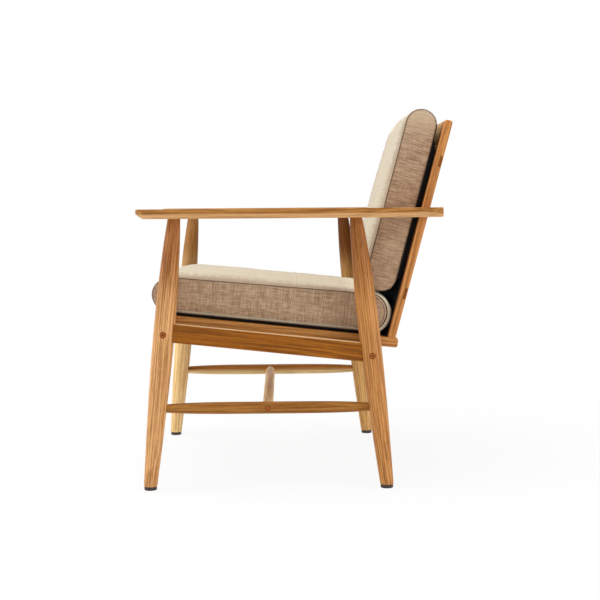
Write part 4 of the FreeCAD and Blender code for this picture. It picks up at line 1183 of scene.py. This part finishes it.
@dataclass
class Cushion:
    """A boxed cushion on its own body: side panels, a crowned band all round, and a dark base cloth."""

    name: str
    place: Matrix
    seam: Stadium
    outer: Stadium
    crown: float
    half_width: float = 0.250
    panel_bulge: float = 0.0056
    edge_roll: float = 0.013
    nose_roll: float = 0.090
    far_end_give: float = 0.15
    near_end_give: float = 0.4
    panel_give: float = 0.6
    line_steps: int = 62
    end_steps: int = 24
    front_roundness: float = 0.6
    top_roundness: float = 0.35
    top_start: float = 2.15
    base_end: float = 0.94
    pinned_width: float = 0.0030
    swell: float = 0.0035
    filling_share: float = 0.45
    fill: float = 0.85
    pucker: float = 0.0012
    pucker_reach: float = 0.018
    unevenness: float = 0.0012
    front_sag: float = 0.0
    rear_rise: float = 0.0
    slump: float = 0.0
    base_bulge: float = 0.0
    base_thick: float = 0.0008
    rear_light_amount: float = 0.0
    base_wrap: int = 2

    @property
    def runs(self) -> list[float]:
        """The loop's runs from 0 to 4."""
        steps = (self.line_steps, self.end_steps, self.line_steps, self.end_steps)
        return [part + index / count for part, count in enumerate(steps) for index in range(count)]

    @property
    def stations(self) -> list[Flat]:
        """Distances in from the right seam and then from the left one, each with its side."""
        near = [0.0, 0.0012, 0.0028, 0.0055, 0.0095, 0.0145]
        count = 34
        columns = near + [near[-1] + (self.half_width - near[-1]) * index / count
                          for index in range(1, count + 1)]
        return [(inward, -1.0) for inward in columns] + [(inward, 1.0) for inward in reversed(columns[:-1])]

    def give(self, run: float) -> float:
        """How freely the band swells at a run, from 0 at the underside to 1 at the top."""
        if run <= 1.0:
            return 0.0
        if run <= 2.0:
            return self.far_end_give
        if run >= 3.0:
            return self.near_end_give
        ends = self.far_end_give + (self.near_end_give - self.far_end_give) * (run - 2.0)
        return ends + (1.0 - ends) * min(1.0, 8.0 * (run - 2.0) * (3.0 - run))

    def band_point(self, run: float, inward: float, sign: float) -> Point:
        """A point of the band before it is filled, in the cushion's own frame.

        Args:
            run: Where on the loop.
            inward: Distance in from the side seam.
            sign: The side.

        Returns:
            The point across, along and up.
        """
        share = 1.0 - self.filling_share * self.give(run)
        seam_a, seam_b = self.seam.point(run)
        out_a, out_b = self.outer.point(run)
        swing = math.sin(math.pi * (run - 3.0)) ** self.front_roundness if run > 3.0 else 0.0
        roll = max(0.0, 1.0 - inward / (self.edge_roll + (self.nose_roll - self.edge_roll) * swing))
        growth = math.sqrt(max(0.0, 1.0 - roll * roll)) * (1.0 - swing) + (1.0 - roll * roll) * swing
        across = (self.half_width - inward) / self.half_width
        rise = self.crown * (1.0 - across * across)
        top = 0.0
        if 2.0 <= run <= 3.0:
            top = math.sin(math.pi * (run - 2.0)) ** self.top_roundness * 4.0 * max(0.0, run - self.top_start)
        part = growth * (1.0 if run < 1.0 else share)
        along = seam_a + (out_a - seam_a) * part
        up = seam_b + (out_b - seam_b) * part + rise * top * share
        if run < self.base_end:
            ends = min(1.0, run / 0.03, (self.base_end - run) / 0.08)
            up -= self.base_bulge * growth * ends * ends * (3.0 - 2.0 * ends)
        return sign * (self.half_width - inward), along, up

    def settled(self, across: float, along: float, up: float) -> Vector:
        """A point of the cushion, worn lower at one end than at the other and towards the right."""
        share = max(0.0, (along - self.seam.start) / (self.seam.end - self.seam.start))
        slump = self.slump * max(0.0, -across / self.half_width)
        sag = self.front_sag + (self.rear_rise - self.front_sag) * share - slump * share
        return Vector((across, along - slump * share, up + sag * up / self.seam.high))

    def mesh(self) -> Mesh:
        """The cushion before it is filled, with its flat map, its seam marks and its shares of painted shade
        and light.
        """
        builder = bmesh.new()
        labels = ("pin", "near_seam", "give", "gathered", "rear_light")
        layers = [builder.verts.layers.float.new(label) for label in labels]
        uv_layer = builder.loops.layers.uv.new("weave")
        runs, stations = self.runs, self.stations
        count = len(runs)

        def mark(spot: Vector, *values: float) -> BMVert:
            """One point with its pin, its distance from the seam, its give, its share of painted fold shade
            and its share of painted rear-end light.
            """
            vertex = builder.verts.new(spot)
            for layer, value in zip(layers, values):
                vertex[layer] = value
            return vertex

        def add(corners: list, spots: list[Flat], cloth: int = 1) -> None:
            """One face with its place on the flat map, in the side panels' cloth or the band's."""
            face = builder.faces.new(corners)
            face.material_index = cloth
            for loop, spot in zip(face.loops, spots):
                loop[uv_layer].uv = spot

        outline = [Vector(self.outer.point(run)) for run in runs]
        lengths = [0.0]
        for index, spot in enumerate(outline):
            lengths.append(lengths[-1] + (outline[(index + 1) % count] - spot).length)
        wrap = (self.base_wrap + 0.5) / self.end_steps
        grid = []
        for inward, sign in stations:
            ring = []
            for run in runs:
                point = self.band_point(run, inward, sign)
                near = math.hypot(inward, math.dist(point[1:], self.seam.point(run)))
                # painted light on the band's rear end, and the top and front band marked for painted fold
                # shade
                rear_light = self.rear_light_amount * min(1.0, 5.0 * max(0.0, 1.0 - abs(run - 1.5) * 1.6))
                pinned = inward < self.pinned_width or run < 1.0 + wrap or run > 4.0 - wrap
                ring.append(mark(self.settled(*point), pinned, near, self.give(run), 1.9 < run < 3.1, rear_light))
            grid.append(ring)
        widths = [sign * (self.half_width - inward) for inward, sign in stations]
        for ring, after, u0, u1 in zip(grid, grid[1:], widths, widths[1:]):
            for index in range(count):
                following = (index + 1) % count
                v0, v1 = lengths[index], lengths[index + 1]
                add([ring[index], after[index], after[following], ring[following]],
                    [(u0, v0), (u1, v0), (u1, v1), (u0, v1)], 0)
        radius = (self.seam.high - self.seam.low) / 2.0
        for sign, ring in ((-1.0, grid[0]), (1.0, grid[-1])):
            loop = self.seam
            for amount in (0.0012, 0.0028, 0.006, 0.0105, 0.0165, 0.0235, 0.0305, radius - 0.0015):
                before, loop_before, loop = ring, loop, self.seam.inset(amount)
                roll = max(0.0, 1.0 - amount / 0.020)
                out = sign * (self.half_width + self.panel_bulge * 0.5 * math.sqrt(1.0 - roll * roll))
                ring = [mark(self.settled(out, *loop.point(run)), amount < self.pinned_width, amount,
                             self.panel_give) for run in runs]
                for index in range(count):
                    following = (index + 1) % count
                    spots = [loop_before.point(runs[index]), loop.point(runs[index]),
                             loop.point(runs[following]), loop_before.point(runs[following])]
                    add([before[index], ring[index], ring[following], before[following]],
                        [(3.0 + sign + along, up) for along, up in spots])
            self.close_panel(ring, loop, sign, add)
        bmesh.ops.recalc_face_normals(builder, faces=builder.faces)
        builder.transform(self.place)
        return merged(self.name, [builder])

    def close_panel(self, ring: list[BMVert], loop: Stadium, sign: float, add: Callable) -> None:
        """Fills the slit left in a side panel with a strip and a fan at each end.

        Args:
            ring: The panel's innermost points.
            loop: The loop that they lie on.
            sign: The side.
            add: Makes a face from its corners and their places on the flat map.
        """
        lines, ends, runs = self.line_steps, self.end_steps, self.runs
        count = len(runs)
        spots = [(3.0 + sign + along, up) for along, up in map(loop.point, runs)]
        upper = lines + ends + lines
        strips = [[index, upper - index, upper - index - 1, index + 1] for index in range(lines)]
        fans = [[(begin + index) % count for index in range(ends + 1)] for begin in (lines, upper)]
        for corners in strips + fans:
            add([ring[corner] for corner in corners], [spots[corner] for corner in corners])

    def filled(self, mesh: Mesh) -> Mesh:
        """The mesh blown up by its filling, with its movement capped.

        Args:
            mesh: The sewn cover before filling.

        Returns:
            The filled mesh, with one subdivision.
        """
        piece = linked(bpy.data.objects.new(self.name + "_slack", mesh))
        start = read_points(mesh)
        pins, gives = read_marks(mesh, "pin"), read_marks(mesh, "give")
        shift = self.simulated(piece, pins) - start
        limit = self.swell * np.array(gives)[:, None]
        length = np.linalg.norm(shift, axis=1, keepdims=True)
        shift *= np.minimum(1.0, limit / np.maximum(length, 1e-9))
        mesh.vertices.foreach_set("co", (start + shift).ravel())
        mesh.update()
        self.pucker_seams(mesh)
        finer = piece.modifiers.new("finer", "SUBSURF")
        finer.levels = finer.render_levels = 1
        result = evaluated(piece)
        bpy.data.objects.remove(piece)
        return result

    @staticmethod
    def simulated(piece: Object, pins: list[float]) -> np.ndarray:
        """Point places after the cloth has been blown up for 20 frames."""
        group = piece.vertex_groups.new(name="pin")
        for index, value in enumerate(pins):
            if value > 0.0:
                group.add([index], value, "REPLACE")
        settings = piece.modifiers.new("cloth", "CLOTH").settings
        settings.quality = 6
        settings.mass = 0.3
        settings.tension_stiffness = settings.compression_stiffness = 15.0
        settings.shear_stiffness = 5.0
        settings.bending_stiffness = 0.6
        settings.vertex_group_mass = "pin"
        settings.use_pressure = True
        settings.uniform_pressure_force = 4.0
        settings.shrink_min = -0.012
        settings.effector_weights.gravity = 0.0
        for number in range(1, 21):
            bpy.context.scene.frame_set(number)
        moved = evaluated(piece)
        places = read_points(moved)
        bpy.data.meshes.remove(moved)
        piece.modifiers.clear()
        bpy.context.scene.frame_set(1)
        return places

    def pucker_seams(self, mesh: Mesh) -> None:
        """Small folds that fade away from the seams, and the soft unevenness of the filling."""
        nears, pins = read_marks(mesh, "near_seam"), read_marks(mesh, "pin")
        for vertex, inward, pinned in zip(mesh.vertices, nears, pins):
            spot = vertex.co
            ripple = noise.noise(Vector((spot.x * 24.0, spot.y * 110.0, spot.z * 110.0)))
            fade = math.exp(-inward / self.pucker_reach) * min(1.0, inward / self.pinned_width)
            soft = noise.noise(spot * 13.0) * (1.0 - pinned)
            fold = ripple * fade * self.pucker * 2.0 * (1.0 - pinned)
            vertex.co = spot + vertex.normal * (fold + soft * self.unevenness)

    def build(self, linen: list[Material], base: Material, thread: Material, stitches: NodeTree) -> None:
        """Makes the cover, the base cloth and the stitches of the cushion."""
        name = f"{self.name}_cover"
        piece = add_piece(name, self.filled(self.mesh()), linen, self.name, "linen_weave", name,
                          f"{self.name}_core", sharp=ALL_SMOOTH)
        self.build_base(base)
        self.build_stitches(thread, stitches)

    def base_point(self, run: float, inward: float, sign: float) -> Point:
        """A point of the base cloth, which runs a little way up both ends."""
        if run < 0.0:
            run = 4.0 + run * self.line_steps / self.end_steps
        elif run > 1.0:
            run = 1.0 + (run - 1.0) * self.line_steps / self.end_steps
        return self.band_point(run, inward, sign)

    def build_base(self, material: Material) -> None:
        """The dark cloth under the cushion, from seam to seam."""
        runs = [index / self.line_steps
                for index in range(-self.base_wrap, self.line_steps + self.base_wrap + 1)]
        builder = bmesh.new()
        sheets = []
        for lift in (-0.0001, self.base_thick):
            grid = []
            for inward, sign in self.stations:
                points = [self.base_point(run, inward, sign) for run in runs]
                grid.append([builder.verts.new(self.settled(across + sign * lift * 0.5, along, up - lift))
                             for across, along, up in points])
            sheets.append(grid)
        close_sheet(builder, sheets, lambda spot: (spot.x, spot.y))
        builder.transform(self.place)
        name = f"{self.name}_base_cloth"
        add_piece(name, merged(name, [builder]), [material], self.name, "base_cloth", name, sharp=50.0)

    def build_stitches(self, material: Material, tree: NodeTree) -> None:
        """Stitches beside both side seams."""
        seed = bmesh.new()
        loop = self.seam.inset(0.0022)
        out = self.half_width + 0.0016
        for sign in (-1.0, 1.0):
            row = [seed.verts.new(self.place @ self.settled(sign * out, *loop.point(run)))
                   for run in self.runs]
            for first, second in zip(row, row[1:] + row[:1]):
                seed.edges.new((first, second))
        name = f"{self.name}_stitches"
        values = {"Pitch": 0.0034, "Stitch Length": 0.0024, "Thread": 0.0005, "Scatter": 0.12, "Seed": 11}
        mesh = grown(tree, merged(name, [seed]), values, material)
        add_piece(name, mesh, [material], self.name, "linen_weave", sharp=ALL_SMOOTH)


# painted shade: a dark sheet put where the gap between the seat cushion and the back lies in shade
@dataclass
class ShadeFlap:
    """A dark sheet of painted shade: it hangs from the back cushion's base and turns forward under the seat,
    filling the gap behind the seat cushion.
    """

    half_width: float = 0.248
    high: float = 0.165
    turn: float = 0.004
    reach: float = 0.030
    clear: float = 0.0002
    thick: float = 0.0003
    straight_steps: int = 20
    columns: int = 60

    def line(self) -> list[Flat]:
        """Its side view as places along the back and in front of it, from the top down."""
        lean = math.radians(BACK_TILT - SEAT_TILT)
        ahead, up = (-math.sin(lean), math.cos(lean)), (math.cos(lean), math.sin(lean))
        points = [(self.turn + (self.high - self.turn) * (1.0 - index / self.straight_steps), 0.0)
                  for index in range(self.straight_steps + 1)]
        for index in range(1, 13):
            share = index / 12
            fall, run = self.turn * (1.0 - share) ** 2, self.turn * share ** 2
            points.append((fall + ahead[0] * run, ahead[1] * run))
        for index in range(1, 9):
            run = self.turn + (self.reach - self.turn) * index / 8
            points.append((ahead[0] * run, ahead[1] * run))
        return [(along + up[0] * self.clear, out + self.clear * (1.0 + up[1])) for along, out in points]

    def build(self, place: Matrix, material: Material) -> None:
        """Hangs the flap as a thin closed sheet."""
        line = self.line()
        builder = bmesh.new()
        sheets = []
        for lift in (0.0, self.thick):
            grid = []
            for column in range(self.columns + 1):
                x = self.half_width * (2.0 * column / self.columns - 1.0)
                grid.append([builder.verts.new((x, along + lift * (index > self.straight_steps), out + lift))
                             for index, (along, out) in enumerate(line)])
            sheets.append(grid)
        close_sheet(builder, sheets, lambda spot: (spot.x, spot.y - spot.z))
        builder.transform(place)
        piece = add_piece("back_shade_flap", merged("back_shade_flap", [builder]), [material], "back_cushion",
                          "base_cloth")


@dataclass
class JoinedFrame:
    """The straight wood and the metal that keep their built shape and get their finish."""

    oaks: dict[str, OakFinish]
    glide: Material
    steel: Material

    def dress(self) -> None:
        """Gives every node that stays its finish, with the grain along it."""
        along_y = Matrix.Rotation(math.radians(SEAT_TILT), 3, "X")
        to_y = Matrix.Rotation(math.radians(90.0), 3, "X") @ along_y
        to_x = Matrix.Rotation(math.radians(-90.0), 3, "Y")
        to_back = Matrix.Rotation(math.radians(BACK_TILT), 3, "X")
        families = {
            "apron": (to_y, (0.030, 0.07, 0.0), ("apron_left", "apron_right")),
            "rail": (to_y, (0.052, 0.04, 0.5), ("seat_rail_left", "seat_rail_right")),
            "stile": (to_back, (0.021, 0.06, 0.0), ("back_stile_left", "back_stile_right")),
            "crest": (to_x, (0.04, 0.03, 1.0), ("crest_rail",)),
            "inner": (to_x, (0.06, 0.02, 2.0), (
                "front_cross_rail", "rear_cross_rail", "seat_front_member", "seat_rear_member",
                "upper_back_rail", "lower_back_rail", *(f"seat_slat_{index}" for index in range(1, 7)))),
            "inner_upright": (to_back, (0.045, 0.05, 3.0), [f"back_slat_{index}" for index in range(1, 6)]),
        }
        for name, (turn, shift, members) in families.items():
            finish = self.oaks[name.removesuffix("_upright")]
            self.assign(finish.material(f"{name}_oak", GrainSource.OBJECT, turn, shift), members)
        self.assign(self.glide, [f"{end}_glide_{side}" for end in ("front", "rear") for side in SIDES])
        self.assign(self.steel, ("leg_bolts", "barrel_nuts", "seat_frame_screws"))

    @staticmethod
    def assign(material: Material, members: Iterable[str]) -> None:
        """Puts a material on nodes that stay."""
        for member in members:
            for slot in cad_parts[member].material_slots:
                slot.material = material
            log.info("dressed %s in %s", member, material.name)


@dataclass
class Screws:
    """The screws whose heads show behind the back and inside the stiles."""

    tree: NodeTree
    material: Material
    slat_pitch: float = 0.08157
    back_face: float = 0.0166
    stile_face: float = 0.2227

    def add(self, name: str, points: list[Vector], axis: Vector, sizes: dict[str, float],
            *nodes: str) -> None:
        """Adds screws of one size at some points, as one piece."""
        seed = bpy.data.meshes.new("screw_points")
        seed.from_pydata(points, [], [])
        mesh = grown(self.tree, seed, {"Axis": axis, **sizes}, self.material)
        add_piece(name, mesh, [self.material], FRAME_BODY, "steel", *nodes, sharp=30.0)

    def build(self, back: Matrix) -> None:
        """Sets screws where the built ones are."""
        points = [back @ Vector((self.slat_pitch * step, self.back_face, up))
                  for up in BACK_RAIL_HEIGHTS for step in range(-2, 3)]
        small = {"Head": 0.0066, "Head Depth": 0.002, "Shank": 0.0034, "Length": 0.011, "Recess": 0.0011,
                 "Seed": 5}
        self.add("back_slat_screws", points, (back.to_3x3() @ Y_AXIS).normalized(), small, "back_slat_screws")
        low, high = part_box("arm_screws")
        middle = (low + high) / 2.0
        large = {"Head": 0.010, "Head Depth": 0.003, "Shank": 0.005, "Length": 0.058, "Recess": 0.0016,
                 "Seed": 9}
        for side_name, side in SIDES.items():
            place = Vector((side * self.stile_face, middle.y, middle.z))
            nodes = ("arm_screws",) if side > 0 else ()
            self.add(f"arm_screw_{side_name}", [place], Vector((-side, 0.0, 0.0)), large, *nodes)


@dataclass
class Studio:
    """The photograph's camera, a white sweep and soft lamps."""

    camera_place: Point = (2.787, -0.02775, 0.593)
    yaw: float = -0.82
    pitch: float = 4.53
    roll: float = 0.42
    lens: float = 72.0
    floor_reach: float = 14.0

    def build_camera(self) -> None:
        """Sets the camera where the photograph was taken from."""
        yaw, pitch, roll = (math.radians(value) for value in (self.yaw, self.pitch, self.roll))
        ahead = Vector((-math.cos(pitch) * math.cos(yaw), -math.cos(pitch) * math.sin(yaw), -math.sin(pitch)))
        right = ahead.cross(Z_AXIS).normalized()
        down = -right.cross(ahead)
        image_right = right * math.cos(roll) + down * math.sin(roll)
        image_down = down * math.cos(roll) - right * math.sin(roll)
        axes = Matrix((image_right, -image_down, -ahead)).transposed()
        data = bpy.data.cameras.new("camera")
        data.lens = self.lens
        camera = linked(bpy.data.objects.new("camera", data))
        camera.matrix_world = Matrix.Translation(self.camera_place) @ axes.to_4x4()
        bpy.context.scene.camera = camera

    def build_floor(self) -> None:
        """A pale floor that keeps the chair's shadow and turns white away from it."""
        corners = [(x * self.floor_reach, y * self.floor_reach, 0.0)
                   for x, y in ((-1, -1), (1, -1), (1, 1), (-1, 1))]
        mesh = bpy.data.meshes.new("floor")
        mesh.from_pydata(corners, [], [(0, 1, 2, 3)])
        material, nodes, shader = new_material("floor")
        nodes.fill(shader, {"Base Color": (0.9, 0.9, 0.9, 1.0), "Roughness": 0.9, "Specular IOR Level": 0.1})
        far = nodes.length(nodes.coordinates("Object"))
        glow = nodes.add("ShaderNodeEmission", {"Color": WHITE, "Strength": 1.0})
        path = nodes.add("ShaderNodeLightPath").outputs
        seen = nodes.math("MAXIMUM", path["Is Camera Ray"], path["Is Glossy Ray"])
        share = nodes.times(nodes.spread(far, 0.45, 1.3, 0.9, 1.0), seen)
        mix = nodes.add("ShaderNodeMixShader", {0: share, 1: shader.outputs[0], 2: glow.outputs[0]})
        nodes.fill(nodes.tree.nodes["Material Output"], {"Surface": mix.outputs[0]})
        floor = new_piece("floor", mesh, [material])

    @staticmethod
    def build_light() -> None:
        """Even white surroundings with large soft lamps at both sides and above."""
        world = bpy.data.worlds.new("studio")
        bpy.context.scene.world = world
        world.use_nodes = True
        nodes = Nodes(world.node_tree)
        background = world.node_tree.nodes["Background"]
        path = nodes.add("ShaderNodeLightPath").outputs
        through = nodes.math("MAXIMUM", path["Is Glossy Ray"], path["Is Transmission Ray"])
        seen = nodes.math("MAXIMUM", path["Is Camera Ray"], through)
        nodes.fill(background, {"Color": WHITE, "Strength": nodes.math("MAXIMUM", seen, 0.34)})
        for name, place, aim, size, power in (
                ("front_lamp", (0.4, -2.6, 1.5), (0.0, 0.0, 0.35), 2.2, 42.0),
                ("rear_lamp", (1.5, 2.3, 1.1), (0.0, 0.0, 0.35), 2.0, 34.0),
                ("top_lamp", (0.1, -0.3, 2.8), (0.0, 0.0, 0.0), 2.4, 48.0),
                ("camera_lamp", (3.2, -0.6, 1.2), (0.0, 0.0, 0.35), 2.0, 5.0)):
            data = bpy.data.lights.new(name, "AREA")
            data.shape = "DISK"
            data.size = size
            data.energy = power
            lamp = linked(bpy.data.objects.new(name, data))
            lamp.location = place
            lamp.rotation_mode = "QUATERNION"
            lamp.rotation_quaternion = (Vector(aim) - Vector(place)).to_track_quat("-Z", "Y")

    def build(self) -> None:
        """Builds the whole studio."""
        self.build_camera()
        self.build_floor()
        self.build_light()
        bpy.context.scene.view_settings.view_transform = "Standard"


def build_oaks() -> dict[str, OakFinish]:
    """The oak of each family of the frame, some with painted light and shade."""
    dark = ((182, 126, 60), (160, 102, 40), (108, 62, 16), (80, 44, 10))
    return {
        "rail": OakFinish.of((214, 156, 94), (190, 130, 64), (142, 86, 30), (108, 62, 20)),
        "stile": OakFinish.of((216, 152, 90), (190, 124, 64), (142, 84, 34), (102, 58, 22)),
        # crest: paler than the stiles, painted light on the face that the back cushion shades
        "crest": OakFinish.of((244, 202, 142), (224, 172, 108), (176, 120, 62), (124, 80, 36)),
        "inner": OakFinish.of((214, 164, 108), (190, 134, 78), (150, 96, 48), (116, 70, 34)),
        # apron: its top face paler, painted light from above
        "apron": OakFinish.of((170, 104, 26), (148, 84, 16), (104, 56, 8), (76, 40, 6), ring_spacing=0.0064,
                              worn=srgb(250, 222, 178), worn_from=0.8, worn_to=0.95),
        # left legs: tops darkened by painted shade under the arms
        "front_left": OakFinish.of((234, 182, 124), (208, 150, 92), (154, 98, 46), (112, 66, 26),
                                   aged=srgb(202, 178, 150)),
        "rear_left": OakFinish.of((216, 156, 94), (188, 126, 64), (136, 82, 34), (100, 58, 20),
                                  aged=srgb(212, 196, 178)),
        # right legs: paler copies of the left legs' oak, painted light on the far legs, with stronger painted
        # shade at their tops
        "front_right": OakFinish.of((255, 226, 168), (244, 204, 140), (200, 148, 82), (156, 106, 52),
                                    aged=srgb(170, 140, 108)),
        "rear_right": OakFinish.of((242, 198, 130), (222, 170, 100), (178, 120, 56), (136, 86, 34),
                                   aged=srgb(124, 94, 60)),
        "side_left": OakFinish.of(*dark, ring_spacing=0.0060),
        # right side stretcher: its underside paler, painted light of the floor's bounce
        "side_right": OakFinish.of(*dark, ring_spacing=0.0060, worn=srgb(255, 228, 168), worn_from=0.45,
                                   worn_to=-0.75),
        "cross": OakFinish.of((255, 228, 172), (250, 210, 152), (212, 164, 112), (168, 120, 76),
                              ring_spacing=0.0060),
        # arms: the downward bevel paler, painted light of the floor's bounce
        "arm": OakFinish.of((190, 134, 70), (170, 112, 50), (122, 72, 24), (92, 54, 18), ring_spacing=0.0060,
                            worn=srgb(226, 178, 124), worn_from=-0.25, worn_to=-0.5),
    }


def local_frame(tilt: float, lift: Point = (0.0, 0.0, 0.0)) -> Matrix:
    """The frame of the seat or the back, turned about the line where they meet.

    Args:
        tilt: Its lean in degrees.
        lift: An added move in that frame.

    Returns:
        The matrix from that frame to the chair's.
    """
    return Matrix.Translation(HINGE) @ Matrix.Rotation(math.radians(-tilt), 4, "X") @ Matrix.Translation(lift)


def build_wood(back_frame: Matrix) -> None:
    """Turns, sands and dresses the frame, and sets its screws."""
    oaks = build_oaks()
    turning, screws = build_turning_tree(), build_screw_tree()
    woods = {name: oaks[name].material(f"turned_{name}", GrainSource.ATTRIBUTE)
             for name in ("front_left", "rear_left", "front_right", "rear_right", "side_left", "side_right",
                          "cross", "arm")}
    end_grain = EndGrainFinish().material("end_grain")
    tenon_tones = ((140, 76, 22), (154, 88, 28), (130, 70, 20), (84, 42, 10))
    tenon_end = EndGrainFinish.of(*tenon_tones).material("tenon_end")
    steel = PlainFinish.of((196, 194, 188), (150, 148, 142), roughness=0.34, metallic=1.0).material("zinc")
    glide = PlainFinish.of((58, 46, 38), (40, 32, 27), roughness=0.6).material("glide_plastic")
    front, rear = LegPair("front", -0.309, -0.2535), LegPair("rear", 0.1885, 0.1265)
    for legs in (front, rear):
        legs.build(turning, woods)
    Stretchers().build(turning, front, rear, woods, end_grain)
    Plugs().build(front, rear, end_grain)
    StileTenons().build(back_frame, tenon_end)
    Arms().build(woods["arm"])
    JoinedFrame(oaks, glide, steel).dress()
    Screws(screws, steel).build(back_frame)


def build_cushions(back_frame: Matrix) -> None:
    """Sews both cushions and hangs the dark flap, painted shade behind the seat cushion."""
    stitches = build_stitch_tree()
    seam = (98, 74, 54)
    # band: a taupe painted shade beside its seams and in its folds
    band = WeaveFinish.of((232, 223, 204), (221, 209, 186), (196, 181, 154), seam,
                          gather=srgb(168, 142, 114)).material("linen_band")
    # the side linens are darker and redder than the band: partly the cloth's own tone, partly painted shade
    # of the side panels
    seat_side = WeaveFinish.of((232, 208, 180), (212, 182, 150), (146, 116, 88), seam,
                               hem=srgb(206, 198, 176), doubled_from=0.925).material("seat_side_linen")
    # back sides: their crown tone is a painted highlight at the top
    back_side = WeaveFinish.of((226, 198, 170), (207, 174, 143), (144, 112, 85), seam,
                               warp_share=0.75, crown=srgb(240, 218, 184)).material("back_side_linen")
    base = WeaveFinish.of((34, 38, 48), (20, 22, 30), (10, 11, 15), (8, 8, 10), thread_pitch=0.0006,
                          bump=0.0002, sheen=0.05).material("base_cloth")
    thread = PlainFinish.of((96, 66, 46), (70, 46, 32), roughness=0.8).material("thread")
    # seat: the band's rear end gets a painted highlight where the back shades it
    seat = Cushion("seat_cushion", local_frame(SEAT_TILT, (0.0, 0.0, 0.0004)),
                   Stadium(-0.5065, -0.0058, 0.0062, 0.0850), Stadium(-0.5090, 0.0058, 0.0010, 0.0868), 0.010,
                   swell=0.003, front_sag=-0.0065, rear_rise=0.0035, rear_light_amount=1.0)
    seat.build([band, seat_side], base, thread, stitches)
    upright = Matrix.Rotation(math.radians(90.0), 4, "X")
    base_low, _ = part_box("back_cushion_base_cloth")
    foot = (base_low.z - 0.0001 - HINGE[2]) / math.cos(math.radians(BACK_TILT)) - 0.041
    back = Cushion("back_cushion", local_frame(BACK_TILT, (0.0, -0.0004, 0.0)) @ upright,
                   Stadium(foot, foot + 0.3935, 0.012, 0.077),
                   Stadium(foot - 0.0012, foot + 0.3950, 0.0105, 0.0785), 0.007,
                   near_end_give=0.15, swell=0.0026, slump=0.008, base_bulge=0.0093)
    back.build([band, back_side], base, thread, stitches)
    # the flap is painted shade behind the seat cushion's rear end
    ShadeFlap().build(back_frame @ upright, base)


def main() -> None:
    """Builds the studio, the wood and the cushions."""
    logging.basicConfig(level=logging.INFO, format="%(message)s", force=True)
    Studio().build()
    back_frame = local_frame(BACK_TILT)
    build_wood(back_frame)
    build_cushions(back_frame)


if __name__ == "__main__":
    main()
